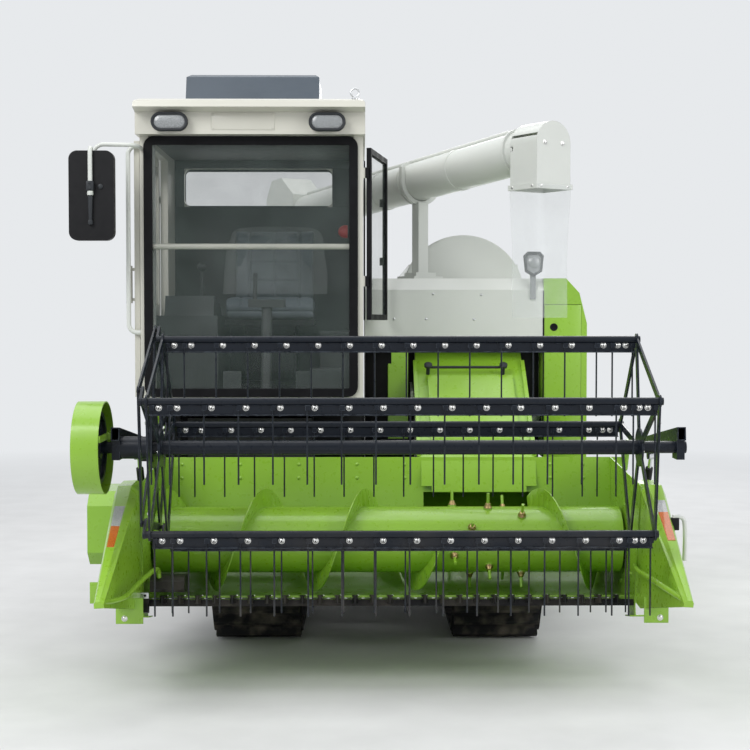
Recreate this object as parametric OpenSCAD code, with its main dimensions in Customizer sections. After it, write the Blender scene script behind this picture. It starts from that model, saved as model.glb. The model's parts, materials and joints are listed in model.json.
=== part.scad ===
// Tracked full-feed combine harvester with an offset cab and a folded unloading auger.
// Millimetres. +Z is up, the header faces -Y, +X is the driver's left. The ground is Z = 0.
// Inside the modules X = 0 is the middle between the tracks and Y = 0 is the reel axis.

/* [Machine] */
// Middle of the whole machine across, measured from the middle between the tracks
mid_x = -80; // [-120:1:20]
// Middle of the whole machine lengthwise, measured from the reel axis
mid_y = 2000; // [1900:1:2100]
// Thickness of folded sheet metal
sheet = 5; // [4:0.5:8]
// Running clearance of a pin or shaft in its bore
fit = 0.3; // [0.2:0.05:0.5]

/* [Reel] */
// Height of the reel axis above the ground
reel_z = 1092; // [1080:1:1110]
// Radius of the circle that the bat pivots run on
reel_r = 450; // [430:1:460]
// Number of bats
bat_count = 5; // [5]
// Angle of the first bat above the forward direction
first_bat = 100; // [95:1:105]
// First end of the bats
bat_x0 = -894; // [-896:1:-880]
// Last end of the bats
bat_x1 = 1058; // [1040:1:1060]
// Radius of a bat's tube
bat_tube_r = 15; // [12:0.5:16]
// Depth of a bat's plate below its pivot
bat_plate_h = 54; // [45:1:60]
// Distance between tines
tine_pitch = 132; // [120:1:140]
// Number of evenly spaced tines on a bat
tine_count = 14; // [12:1:14]
// Place of the first evenly spaced tine
tine_x0 = -816; // [-820:1:-800]
// Radius of a tine
tine_r = 3.5; // [3:0.25:4]
// Reach of a tine below its bat's pivot
tine_reach = 320; // [280:5:330]
// Radius of the reel's centre tube
reel_tube_r = 30; // [26:1:34]
// Radius of the reel shaft's ends
reel_shaft_r = 25; // [20:1:27]
// Thickness of the star plates
star_t = 8; // [6:1:9]
// Width of a star's arms and straps
star_w = 40; // [30:1:44]
// Backward offset of the cam star
cam_dy = 55; // [40:1:60]
// Upward offset of the cam star
cam_dz = 40; // [30:1:45]
// Radius of the cranks' pins
crank_pin_r = 8; // [6:0.5:9]
// Width of a reel arm's tube
arm_w = 35; // [30:1:38]
// Height of a reel arm's tube
arm_h = 55; // [50:1:60]
// Radius of the reel drive guard
guard_r = 191; // [180:1:200]
// Radius of the reel drive pulley
pulley_r = 150; // [130:1:165]

/* [Header] */
// Upward tilt of the header as it is parked
header_tilt = 10; // [8:0.5:12]
// Inner face of the header's right-hand side wall
wall_x0 = -1030; // [-1036:1:-1026]
// Inner face of the header's left-hand side wall
wall_x1 = 1120; // [1116:1:1130]
// Auger axis behind the reel axis
auger_y = 690; // [680:1:700]
// Auger axis height
auger_z = 608; // [600:1:616]
// Auger flight radius
flight_r = 235; // [220:1:240]
// Auger tube radius
auger_tube_r = 150; // [130:1:160]
// Pitch of the auger flights
flight_pitch = 457; // [400:1:500]
// Gap between the flights and the trough
trough_gap = 18; // [12:1:24]
// Height of the header's back wall above the auger axis
back_h = 400; // [380:1:410]
// Distance between knife guards
guard_pitch = 76.2; // [76.2:0.1:77]
// Reach of the guards in front of the trough's lip
guard_reach = 86; // [76:1:90]
// Width of the feeder house
feeder_w = 560; // [540:1:570]
// Middle of the feeder house
feeder_x = 485; // [475:1:495]
// Depth of the feeder house, square to its run
feeder_h = 250; // [230:1:260]
// Slope of the feeder house
feeder_slope = 38.5; // [38:0.5:39]

/* [Tracks] */
// Distance between the middles of the tracks
track_gauge = 1200; // [1180:1:1220]
// Width of a track
track_w = 450; // [400:1:460]
// Thickness of a track's belt
belt_t = 20; // [16:1:24]
// Height of the lugs
lug_h = 35; // [28:1:40]
// Distance between lugs, before it is rounded to whole lugs
lug_pitch = 90; // [84:1:100]
// Sprocket radius under the belt
sprocket_r = 150; // [140:1:155]
// Road wheel radius
road_r = 85; // [75:1:90]
// Rear wheel radius
idler_r = 160; // [150:1:165]
// Road wheels on a side
road_count = 7; // [5:1:7]

/* [Cab] */
// Right-hand side of the cab
cab_x0 = -1142; // [-1150:1:-1130]
// Left-hand side of the cab
cab_x1 = -70; // [-80:1:-64]
// Front of the cab
cab_y0 = 1040; // [1035:1:1060]
// Rear of the cab
cab_y1 = 2090; // [2050:1:2110]
// Underside of the cab
cab_z0 = 1206; // [1200:1:1216]
// Top of the cab walls
cab_z1 = 2500; // [2480:1:2520]
// Thickness of the cab walls
cab_wall = 40; // [30:1:46]
// Thickness of the window glass
glass_t = 6; // [4:0.5:8]

/* [Unloading auger] */
// Radius of the unloading tube
boom_r = 105; // [95:1:110]
// Turn of the folded tube from straight ahead to the left
boom_yaw = 33; // [32:0.5:34]
// Rise of the folded tube
boom_rise = 4.7; // [4:0.1:5.5]
// Length from the elbow to the spout
boom_len = 2380; // [2300:5:2400]
// Height of the elbow's pivot
elbow_z = 2259; // [2250:1:2270]

/* [Hidden] */
$fn = 48;

// Colours
green = "yellowgreen";
off_white = "gainsboro";
cab_white = "ivory";
slate = "darkslategray";
black = [0.12, 0.12, 0.13];
steel = "silver";
dark_glass = [0.45, 0.55, 0.55, 0.4];

// Reel planes across, from the drive side
star_x0 = bat_x0 - 6 - star_t;
star_x1 = bat_x1 + 6;
crank_x = star_x0 - 24;
crank_t = 10;
cam_x = crank_x - 8 - star_t;
arm_x0 = -1100;
arm_x1 = 1212;
guard_x0 = -1240;
guard_x1 = -1129;
pulley_x = [-1200, -1150];
cam_hub_r = norm([cam_dy, cam_dz]) + reel_shaft_r + 12;

// Reel arms: pivot on the header, and front ends
reel_pivot_y = 985;
reel_pivot_z = 1010;
arm_front_y = -60;
arm_front_z = 1152;
arm_slope = atan2(arm_front_z - reel_pivot_z, reel_pivot_y - arm_front_y);
arm_run = norm([reel_pivot_y - arm_front_y, arm_front_z - reel_pivot_z]);
reel_pin_r = 14;

// Reel lift cylinders, in the plane of each arm
reel_cyl_base = [720, 750];
reel_cyl_eye_back = 425;
reel_cyl_eye = [reel_pivot_y - reel_cyl_eye_back, 1008];
cyl_r = 17;
rod_r = 9;
eye_pin_r = 9;

// Header trough, in the header's own level frame round the auger axis
trough_r = flight_r + trough_gap;
lip_y = -264;
top_bar = 60;
mouth_z0 = -105;
mouth_z1 = 232;
mouth_x0 = feeder_x - feeder_w / 2 + 14;
mouth_x1 = feeder_x + feeder_w / 2 - 14;
auger_shaft_r = 25;
beam_z0 = -298;
knife_slot_z = -264.7;
knife_t = 3;
guard_top = -250;

// Header lift
lift_y = 1640;
lift_z = 1200;
feeder_top_y = 1085;
feeder_top_z = 941;
feeder_end_y = 1735;
header_cyl_x = 255;
header_cyl_base = [1560, 545];
header_cyl_eye = [1080, 575];
// Play of each rod's eye round its pin, where the linkage is open
header_eye_play = 7.5;
reel_eye_play = 1.3;
boom_eye_play = 11.5;

// Track path, from the front sprocket over the top
sprocket_c = [1335, 345];
carrier_r = 60;
carrier_c = [2350, 405];
idler_c = [3050, belt_t + lug_h + idler_r];
road_z = belt_t + lug_h + road_r;
road_y0 = 1415;
road_y1 = 2790;
track_x = track_gauge / 2;

// Chassis
rail_x = [290, 370];
rail_z = [600, 700];
deck_z = 760;
post_w = 60;
outer_x = -1040;
inner_x = -140;
gearbox_top = 640;
tow_hole_r = 15;
engine_x = [-960, -330];
engine_y = [1400, 1850];
rad_x = [-1136, -1102];
rad_y = [1380, 1880];
rad_z = [800, 1150];
rad_knuckle = 6 - fit;
chassis_y = [1230, 4150];
// Front of the left-hand rail, behind the feeder house as it swings down
left_rail_y = 1380;
cross_y = [1260, 1900, 2600, 3300, 4050];
cross_w = 80;

// Thresher
thresher_x = [-60, 872];
thresher_y1 = 4200;
thresher_front = 1600;
thresher_throat = 1800;
thresher_top = 1836;
panel_z0 = 1480;

// Grain tank and unloading column
tank_y = [2130, 2950];
tank_z = [1150, 2140];
elbow_x = -503;
elbow_y = 3087;
column_r = 110;
sump_top = tank_z[0] + 180;
spout_w = 210;
spout_l = 200;
spout_top = 118;
spout_drop = 208;
spout_flange = 8;
boom_cyl_s = -190;
boom_cyl_eye = 65;
boom_cyl_base = -390;
boom_barrel_len = 290;
boom_barrel_r = 30;
boom_rod_r = 14;

// Cab openings
windscreen_x = [-1123, -95];
windscreen_z = [1246, cab_z1];
door_y = [1070, 1790];
door_t = 26;
door_gap = 6;
door_plane = [cab_x0 - door_gap - door_t, cab_x0 - door_gap];
door_z = [cab_z0 + 40, cab_z1 - 20];
door_hinge = [cab_x0 - door_gap - door_t / 2, door_y[1] + 16];
door_hinge_z = [1420, 2280];
window_hinge_z = [1780, 2300];
knuckle_r = 9;
window_hinge_x = -52;
window_hinge_y = 1040;
window_len = 527;
window_z = [1618, 2446];
window_open = 10;
window_t = 22;
frame_w = 28;

function unit(v) = v / norm(v);
function turn(p, a) = [p[0] * cos(a) - p[1] * sin(a), p[0] * sin(a) + p[1] * cos(a)];

// Moves a piece from the reel's frame to the machine's own origin.
module place() translate([-mid_x, -mid_y, 0]) children();

// Box between pairs of coordinates.
module block(x, y, z) translate([x[0], y[0], z[0]]) cube([x[1] - x[0], y[1] - y[0], z[1] - z[0]]);

// Outline in Y and Z, drawn out across the machine.
module across(x) translate([x[0], 0, 0]) rotate([90, 0, 90]) linear_extrude(x[1] - x[0]) children();

// Outline in X and Z, drawn out lengthwise.
module along(y) translate([0, y[1], 0]) rotate([90, 0, 0]) linear_extrude(y[1] - y[0]) children();

// Outline in X and Y, drawn upward.
module upward(z) translate([0, 0, z[0]]) linear_extrude(z[1] - z[0]) children();

// Round bar across the machine.
module bar(x, c, r) across(x) translate(c) circle(r);

// Round bar between two points.
module rod(p, q, r) {
    d = q - p;
    translate(p) rotate([0, acos(d[2] / norm(d)), atan2(d[1], d[0])]) cylinder(h = norm(d), r = r);
}

// Round bar through a row of points, with an arc of the given radius at each bend.
module bent_rod(points, r, bend) {
    n = len(points) - 1;
    dirs = [for (i = [0 : n - 1]) unit(points[i + 1] - points[i])];
    cut = [for (i = [0 : n]) i == 0 || i == n ? 0 : bend * tan(acos(dirs[i - 1] * dirs[i]) / 2)];
    for (i = [0 : n - 1]) rod(points[i] + cut[i] * dirs[i], points[i + 1] - cut[i + 1] * dirs[i], r);
    for (i = [1 : n - 1]) {
        u = dirs[i - 1];
        w = dirs[i];
        a = acos(u * w);
        c = points[i] + unit(w - u) * bend / cos(a / 2);
        x = unit(points[i] - cut[i] * u - c);
        z = unit(cross(u, w));
        multmatrix([[x[0], u[0], z[0], c[0]], [x[1], u[1], z[1], c[1]], [x[2], u[2], z[2], c[2]],
            [0, 0, 0, 1]])
            rotate_extrude(angle = a) translate([bend, 0]) circle(r);
    }
}

// Rectangle between pairs of coordinates with its corners cut off.
module chamfered(x, y, c) polygon([[x[0] + c, y[0]], [x[1] - c, y[0]], [x[1], y[0] + c], [x[1], y[1] - c],
    [x[1] - c, y[1]], [x[0] + c, y[1]], [x[0], y[1] - c], [x[0], y[0] + c]]);

// Rectangle between pairs of coordinates with round corners.
module rounded(x, y, r) {
    translate([x[0] + r, y[0]]) square([x[1] - x[0] - 2 * r, y[1] - y[0]]);
    translate([x[0], y[0] + r]) square([x[1] - x[0], y[1] - y[0] - 2 * r]);
    for (a = [x[0] + r, x[1] - r], b = [y[0] + r, y[1] - r]) translate([a, b]) circle(r);
}

// Flat bar between two points of a plane, with round ends.
module strap(p, q, w) {
    d = q - p;
    // The bar is a hair narrower than its round ends, so their outlines cross
    translate(p) rotate(atan2(d[1], d[0])) translate([0, -w / 2 + 0.2]) square([norm(d), w - 0.4]);
    for (c = [p, q]) translate(c) circle(w / 2);
}

// Both sides of something that is mirrored about the middle between the tracks.
module both_sides() {
    children();
    mirror([1, 0, 0]) children();
}

// Tracks

// Circles that a track runs round, each a centre and a radius, in the order of its travel.
path_circles = [[sprocket_c, sprocket_r], [carrier_c, carrier_r], [idler_c, idler_r],
    [[road_y1, road_z], road_r], [[road_y0, road_z], road_r]];
// Direction of the straight run from one circle to the next, the belt on its left.
function run_dir(a, b) = let (d = b[0] - a[0], l = norm(d))
    atan2(d[1], d[0]) + asin((a[1] - b[1]) / l) * -1;
function next(i) = (i + 1) % len(path_circles);
function prev(i) = (i + len(path_circles) - 1) % len(path_circles);
run_dirs = [for (i = [0 : len(path_circles) - 1]) run_dir(path_circles[i], path_circles[next(i)])];
function wrap(a) = a < 0 ? wrap(a + 360) : a >= 360 ? wrap(a - 360) : a;
// Each stretch: centre, radius, first normal angle, turn (arc) and length of the run that follows.
stretches = [for (i = [0 : len(path_circles) - 1])
    let (c = path_circles[i], n0 = run_dirs[prev(i)] + 90, turned = wrap(run_dirs[prev(i)] - run_dirs[i]),
         d = path_circles[next(i)][0] - c[0], dr = path_circles[next(i)][1] - c[1])
    [c[0], c[1], n0, turned, sqrt(d * d - dr * dr)]];
// Length of belt on each stretch: its arc and its run, on the belt's inner face.
function stretch_len(s) = s[1] * s[3] * PI / 180 + s[4];
function sum_to(v, i) = i <= 0 ? 0 : v[i - 1] + sum_to(v, i - 1);
lens = [for (s = stretches) stretch_len(s)];
path_len = sum_to(lens, len(lens));
// Point and outward angle at a distance along the belt, lifted off its inner face.
function on_path(s, lift) = let (i = max([for (k = [0 : len(lens) - 1]) sum_to(lens, k) <= s ? k : 0]),
    u = s - sum_to(lens, i), st = stretches[i], arc = st[1] * st[3] * PI / 180,
    a = u < arc ? st[2] - u / st[1] * 180 / PI : st[2] - st[3], v = max(0, u - arc))
    st[0] + (st[1] + lift) * [cos(a), sin(a)] + v * [sin(a), -cos(a)];
lug_count = round(path_len / lug_pitch);
lug_step = path_len / lug_count;
arc_step = 6;

// The belt's inner or outer face: along each arc in small steps, and straight from one arc to the next.
module belt_outline(lift) polygon([for (s = stretches) let (n = ceil(s[3] / arc_step)) for (k = [0 : n])
    let (a = s[2] - min(k * arc_step, s[3])) s[0] + (s[1] + lift) * [cos(a), sin(a)]]);

// The belt's outer outline with its lugs.
module lug_outline() polygon([for (i = [0 : lug_count - 1], k = [[0.02, 0], [0.16, 1], [0.4, 1], [0.54, 0]])
    on_path((i + k[0]) * lug_step, belt_t + k[1] * lug_h)]);

module track(side) color(black) place() {
    x = [side * track_x - track_w / 2, side * track_x + track_w / 2];
    difference() {
        union() {
            across(x) belt_outline(belt_t);
            across([x[0] + 12, x[1] - 12]) lug_outline();
        }
        across([x[0] - 1, x[1] + 1]) belt_outline(0);
    }
}
module track_left() track(1);
module track_right() track(-1);

road_w = 200;
roller_gap = 70;
road_ys = [for (i = [0 : road_count - 1]) road_y0 + (road_y1 - road_y0) * i / (road_count - 1)];

// Wheel with two rims and a groove between, across at one track.
module twin_wheel(c, r, rim) translate([track_x, c[0], c[1]]) rotate([0, 90, 0]) rotate_extrude()
    polygon([[0, -road_w / 2], [24, -road_w / 2], [24, -road_w / 2 + 8], [r - rim, -road_w / 2 + 16],
        [r, -road_w / 2 + 16], [r, -roller_gap / 2], [r - rim, -roller_gap / 2], [r - rim, roller_gap / 2],
        [r, roller_gap / 2], [r, road_w / 2 - 16], [r - rim, road_w / 2 - 16], [24, road_w / 2 - 8],
        [24, road_w / 2], [0, road_w / 2]]);

module road_wheels() color(slate) place() both_sides() {
    for (y = road_ys) twin_wheel([y, road_z], road_r - fit, 22);
    twin_wheel(idler_c, idler_r - fit, 34);
    twin_wheel(carrier_c, carrier_r - fit, 14);
}

sprocket_teeth = 9;
axle_r = 62;
module drive_sprockets() color(slate) place() both_sides() {
    bar([track_x - 35, track_x + 35], sprocket_c, sprocket_r - 26);
    for (i = [0 : sprocket_teeth - 1]) translate([track_x, sprocket_c[0], sprocket_c[1]])
        rotate([i * 360 / sprocket_teeth, 0, 0]) block([-26, 26], [-15, 15], [100, sprocket_r - 4]);
    bar([track_x - 60, track_x + 70], sprocket_c, 70);
}

// Frame of one track: beam, roller plates, rear fork and the carrier roller's post.
module track_frame() {
    plate_x = [for (s = [-1, 1]) track_x + s * (road_w / 2 + 5)];
    block([track_x - 55, track_x + 55], [1480, 2800], [235, 325]);
    for (x = plate_x) {
        block([x - 5, x + 5], [road_y0 - 40, road_y1 + 40], [road_z - 32, 265]);
        across([x - 5, x + 5]) strap([road_y1, 250], idler_c, 70);
        across([x - 5, x + 5]) strap([carrier_c[0], 260], carrier_c, 60);
    }
    for (y = [1520, 2760]) block([plate_x[0], plate_x[1]], [y - 30, y + 30], [240, 265]);
}
module track_frames() color(slate) place() both_sides() track_frame();

// Front beams stop here, short of the feeder house
beam_end_x = feeder_x - feeder_w / 2 - 15;

// Chassis: two rails, cross beams, cross tubes to the track frames, posts and tow plate.
module chassis_frame() color(slate) place() {
    block([-rail_x[1], -rail_x[0]], chassis_y, rail_z);
    block(rail_x, [left_rail_y, chassis_y[1]], rail_z);
    both_sides() {
        for (y = [1700, 2600]) {
            block(rail_x, [y - 40, y + 40], [415, rail_z[0]]);
            block([0, track_x + 40], [y - 40, y + 40], [325, 415]);
        }
    }
    for (y = cross_y) block([y < tank_y[1] ? outer_x : thresher_x[0],
        y == cross_y[0] ? beam_end_x : side_x[1] - 99], [y, y + cross_w], [rail_z[1], deck_z]);
    for (x = [outer_x, inner_x], y = [cross_y[0], cross_y[1]])
        block([x, x + post_w], [y, y + post_w], [deck_z, cab_z0 - 46]);
    // Side rails below the cab and tank, and the engine's bearers
    for (x = [outer_x, inner_x]) block([x, x + post_w], [cross_y[0], tank_y[1]], [rail_z[1], deck_z]);
    for (x = [engine_x[0] + 60, engine_x[1] - 120])
        block([x, x + post_w], [cross_y[0], cross_y[1] + cross_w], [rail_z[1], deck_z]);
    block([cab_x0 + 20, cab_x1 - 10], [cab_y0 + 20, cab_y1], [cab_z0 - 46, cab_z0]);
    for (x = [outer_x + 150, inner_x], y = [tank_y[0] + 20, tank_y[1] - 20 - post_w])
        block([x, x + post_w], [y, y + post_w], [deck_z, tank_z[0]]);
    block([outer_x + 150, outer_x + 150 + post_w], [cross_y[1], tank_y[1]], [rail_z[1], deck_z]);
    // Post that carries the radiator door's hinges
    block([rad_x[0], rad_x[0] + 36], [rad_y[1] + 9, cross_y[1] + 20], [rail_z[1], cab_z0 - 46]);
    block([rad_x[0], outer_x + 1], [cross_y[1], cross_y[1] + 20], [rail_z[1], deck_z]);
    // Cross members over the gearbox
    block([-rail_x[0], beam_end_x], [1270, left_rail_y], [gearbox_top, rail_z[1]]);
    block([-rail_x[0], rail_x[0]], [left_rail_y, left_rail_y + 70], [gearbox_top, rail_z[1]]);
    difference() {
        block([-90, 90], [chassis_y[1] - 100, chassis_y[1] + 110], [640, 660]);
        translate([0, chassis_y[1] + 70, 630]) cylinder(h = 40, r = tow_hole_r);
    }
    block([-290, 290], [chassis_y[1] - 100, chassis_y[1]], [660, rail_z[1]]);
    // Pin of the header's lift cylinder, from the rail's inner side
    bar([header_cyl_x - 30, rail_x[0] + 1], header_cyl_base, eye_pin_r + 3);
    block([rail_x[0], rail_x[0] + 20], [header_cyl_base[0] - 40, header_cyl_base[0] + 40],
        [header_cyl_base[1] - 35, rail_z[0]]);
}

module gearbox() color("dimgray") place() {
    across([-160, 160]) chamfered([1215, 1460], [210, gearbox_top], 40);
    bar([-track_x + 60 + 10, track_x - 60 - 10], sprocket_c, axle_r);
    for (x = [track_x - 70, -track_x + 60]) bar([x, x + 10], sprocket_c, 55);
}

module engine() color("dimgray") place() block(engine_x, engine_y, [deck_z, 1120]);

// Radiator door on the right-hand side below the cab: a frame with a round screen.
module radiator_door() color(green) place() {
    difference() {
        block(rad_x, rad_y, rad_z);
        block([rad_x[0] + sheet, rad_x[1] + 1], [rad_y[0] + 30, rad_y[1] - 30],
            [rad_z[0] + 30, rad_z[1] - 30]);
        for (i = [0 : 7]) block([rad_x[0] - 1, rad_x[1]], [rad_y[0] + 60, rad_y[1] - 60],
            [rad_z[0] + 60 + i * 30, rad_z[0] + 74 + i * 30]);
    }
    for (z = [860, 1060]) {
        translate([rad_x[0] + rad_knuckle, rad_y[1] + 3, z]) cylinder(h = 36, r = rad_knuckle);
        block([rad_x[0] + 3, rad_x[0] + 9], [rad_y[1] - 1, rad_y[1] + 3], [z, z + 36]);
    }
}

// Thresher
module thresher_body() color(off_white) place() {
    difference() {
        across(thresher_x) polygon([[thresher_front, panel_z0], [thresher_front, thresher_top - 60],
            [thresher_front + 40, thresher_top], [thresher_y1, thresher_top], [thresher_y1, 1100],
            [thresher_y1 - 180, deck_z], [thresher_throat, deck_z], [thresher_throat, panel_z0]]);
        block([feeder_x - feeder_w / 2 + 20, feeder_x + feeder_w / 2 - 20],
            [thresher_throat - 1, thresher_throat + 260], [1160, 1440]);
    }
    // Ears that carry the feeder house's pivot
    for (x = [feeder_x - feeder_w / 2 - 26, feeder_x + feeder_w / 2 + 12]) difference() {
        across([x, x + 14]) polygon([[thresher_throat, lift_z - 90], [lift_y - 40, lift_z - 45],
            [lift_y - 40, lift_z + 45], [thresher_throat, lift_z + 90]]);
        bar([x - 1, x + 15], [lift_y, lift_z], 20 + fit);
    }
}

side_x = [thresher_x[1], 1099];
module left_side_cover() color(green) place() {
    difference() {
        along([thresher_front, 3700]) polygon([[side_x[0], 900], [side_x[1], 900], [side_x[1], 1600],
            [side_x[1] - 40, 1760], [side_x[1] - 110, thresher_top], [side_x[0], thresher_top]]);
        block([side_x[0] - 1, side_x[1] - 30], [thresher_front - 1, thresher_front + 60], [960, 1700]);
        for (y = [2240, 2950]) block([side_x[1] - 3, side_x[1] + 1], [y, y + 8], [880, 1850]);
    }
}

hood_x = 487;
hood_r = 342;
hood_top = 2090;
hood_y = [2085, 4050];
module drum_hood() color(off_white) place() {
    for (i = [0, 1]) along(i == 0 ? [hood_y[0] + 15, hood_y[1]] : [hood_y[0], hood_y[0] + 15])
        intersection() {
            union() {
                translate([hood_x, hood_top - hood_r - i * 8]) circle(hood_r, $fn = 96);
                translate([hood_x - hood_r + 40, thresher_top]) square([2 * hood_r - 80, 90]);
            }
            translate([hood_x - hood_r, thresher_top]) square([2 * hood_r, 400]);
        }
}

module straw_hood() color(off_white) place() difference() {
    across([thresher_x[0] + 40, thresher_x[1] - 40]) polygon([[thresher_y1, 1120], [thresher_y1, 1780],
        [thresher_y1 + 120, 1760], [thresher_y1 + 270, 1600], [thresher_y1 + 280, 1000],
        [thresher_y1 + 180, 1000]]);
    across([thresher_x[0] + 40 + sheet, thresher_x[1] - 40 - sheet]) polygon([[thresher_y1 + 20, 1130],
        [thresher_y1 + 20, 1760], [thresher_y1 + 115, 1745], [thresher_y1 + 262, 1592],
        [thresher_y1 + 272, 990], [thresher_y1 + 186, 990]]);
}

// Grain tank with a sloping shoulder and two pressed ribs on its outer side
module grain_tank() color(off_white) place() {
    difference() {
        along(tank_y) polygon([[cab_x0, tank_z[0] + 240], [cab_x0 + 180, tank_z[0]], [-80, tank_z[0]],
            [-80, tank_z[1]], [cab_x0 + 60, tank_z[1]], [cab_x0, tank_z[1] - 60]]);
        for (z = [1560, 1850]) translate([cab_x0, 0, z]) rotate([-90, 0, 0])
            translate([0, 0, tank_y[0] + 80]) cylinder(h = tank_y[1] - tank_y[0] - 160, r = 12);
    }
    block([elbow_x - 130, elbow_x + 130], [tank_y[1], elbow_y + 130], [tank_z[0], sump_top]);
}

// Local frame of the unloading tube: its X runs from the elbow's pivot towards the spout.
module boom_plane() translate([elbow_x, elbow_y, elbow_z]) rotate([0, 0, boom_yaw - 90]) children();
module boom_frame() boom_plane() rotate([0, -boom_rise, 0]) children();

trunnion_r = 25;
column_top = elbow_z - 60;
ear_y = [boom_r + 45, boom_r + 60];
module unload_column() color(off_white) place() {
    translate([elbow_x, elbow_y, sump_top]) cylinder(h = column_top - boom_r - sump_top, r = column_r);
    difference() {
        translate([elbow_x, elbow_y, column_top - boom_r - 12]) cylinder(h = 24, r = column_r + 60);
        translate([elbow_x, elbow_y, column_top - boom_r - 1]) cylinder(h = 20, r = column_r - 20);
        // Notches for the lift cylinder and the tank
        boom_plane() translate([boom_cyl_s, 0, column_top - boom_r - 13 - elbow_z])
            cylinder(h = 26, r = boom_barrel_r + 6);
        block([elbow_x - column_r - 61, elbow_x + column_r + 61], [tank_y[1] - 50, tank_y[1] + 6],
            [column_top - boom_r - 13, column_top - boom_r + 13]);
    }
    boom_plane() for (s = [-1, 1]) difference() {
        translate([0, s * (ear_y[0] + ear_y[1]) / 2, 0]) rotate([90, 0, 0])
            linear_extrude(ear_y[1] - ear_y[0], center = true) {
                circle(46);
                translate([-46, column_top - boom_r - 6 - elbow_z])
                    square([92, elbow_z - column_top + boom_r + 6]);
            }
        translate([0, s * ear_y[0] - 20, 0]) rotate([-90, 0, 0]) cylinder(h = 60, r = trunnion_r + fit);
    }
    // Bracket of the lift cylinder
    boom_plane() {
        block([boom_cyl_s - 30, -column_r + 20], [-14, 14], [boom_cyl_base - 60, boom_cyl_base - 26]);
    }
}

module boom_barrel() color("gray") place() boom_plane()
    translate([boom_cyl_s, 0, boom_cyl_base - 26]) difference() {
        cylinder(h = boom_barrel_len, r = boom_barrel_r);
        translate([0, 0, 20]) cylinder(h = boom_barrel_len - 36, r = boom_barrel_r - 6);
        translate([0, 0, 20]) cylinder(h = boom_barrel_len, r = boom_rod_r + fit);
    }

module boom_rod() color(steel) place() boom_plane() {
    translate([boom_cyl_s, 0, boom_cyl_base + 150])
        cylinder(h = boom_cyl_eye - boom_cyl_base - 176, r = boom_rod_r);
    difference() {
        translate([boom_cyl_s, 9, boom_cyl_eye]) rotate([90, 0, 0]) cylinder(h = 18, r = 30);
        translate([boom_cyl_s, 20, boom_cyl_eye]) rotate([90, 0, 0])
            cylinder(h = 40, r = eye_pin_r - 1 + boom_eye_play);
    }
}

cradle_s = 1367;
clamp_w = 60;
module unload_tube() color(off_white) place() boom_frame() {
    rotate([0, 90, 0]) cylinder(h = boom_len - spout_l / 2 + 12, r = boom_r);
    // Elbow hood over the pivot, with its trunnions
    translate([0, boom_r, 0]) rotate([90, 0, 0]) linear_extrude(2 * boom_r) polygon([[-boom_r - 30, -60],
        [-boom_r - 30, 120], [-60, 230], [60, 230], [190, 110], [190, -60]]);
    for (s = [-1, 1]) translate([0, s * (boom_r - 5), 0]) rotate([-90 * s, 0, 0])
        cylinder(h = 75, r = trunnion_r);
    // Fork that the lift cylinder's rod pulls on
    rotate([0, boom_rise, 0]) {
        for (s = [-1, 1]) translate([0, s * 20, 0]) rotate([90, 0, 0]) linear_extrude(10, center = true)
            strap([boom_cyl_s, boom_cyl_eye], [-100, boom_cyl_eye], 44);
        translate([boom_cyl_s, 25, boom_cyl_eye]) rotate([90, 0, 0]) cylinder(h = 50, r = eye_pin_r - 1);
    }
    // Thin pipe along the top
    translate([200, 0, boom_r + 10]) rotate([0, 90, 0]) cylinder(h = boom_len - 420, r = 12);
    for (s = [420, 1000, 1600, 2080]) block([s, s + 30], [-6, 6], [boom_r - 8, boom_r + 6]);
    for (s = [cradle_s - 60, boom_len - 160]) translate([s, 0, 0]) rotate([0, 90, 0])
        cylinder(h = 14, r = boom_r + 14);
}

module unload_spout() color(off_white) place() boom_frame() difference() {
    union() {
        translate([boom_len, 0, 0]) rotate([0, boom_rise, 0]) {
            translate([-spout_l / 2, 0, 0]) rotate([90, 0, 90]) linear_extrude(spout_l) {
                translate([0, spout_top - spout_w / 2]) circle(spout_w / 2);
                translate([-spout_w / 2, -spout_drop])
                    square([spout_w, spout_drop + spout_top - spout_w / 2]);
            }
            translate([-spout_l / 2 - spout_flange, -spout_w / 2 - spout_flange, -spout_drop])
                cube([spout_l + 2 * spout_flange, spout_w + 2 * spout_flange, 26]);
        }
    }
    translate([boom_len, 0, 0]) rotate([0, boom_rise, 0])
        translate([-spout_l / 2 + sheet, -spout_w / 2 + sheet, -spout_drop - 1])
            cube([spout_l - 2 * sheet, spout_w - 2 * sheet, spout_drop + spout_top - 60]);
    rotate([0, 90, 0]) cylinder(h = boom_len - spout_l / 2 + 20, r = boom_r + fit);
}

// Clear sleeve of soft sheet below the spout, open at both ends
sleeve_t = 6;
sleeve_z = [1625, elbow_z + boom_len * sin(boom_rise) - spout_drop + 22];
sleeve_in = [spout_w + 2 * spout_flange + 2 * fit, spout_l + 2 * spout_flange + 2 * fit];
spout_reach = boom_len * cos(boom_rise);
spout_at = [elbow_x + spout_reach * sin(boom_yaw), elbow_y - spout_reach * cos(boom_yaw)];
module unload_sleeve() color([0.9, 0.92, 0.92, 0.5]) place()
    translate([spout_at[0], spout_at[1], sleeve_z[0]]) rotate(boom_yaw)
        linear_extrude(sleeve_z[1] - sleeve_z[0]) difference() {
            square(sleeve_in + 2 * [sleeve_t, sleeve_t], center = true);
            square(sleeve_in, center = true);
        }

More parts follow.
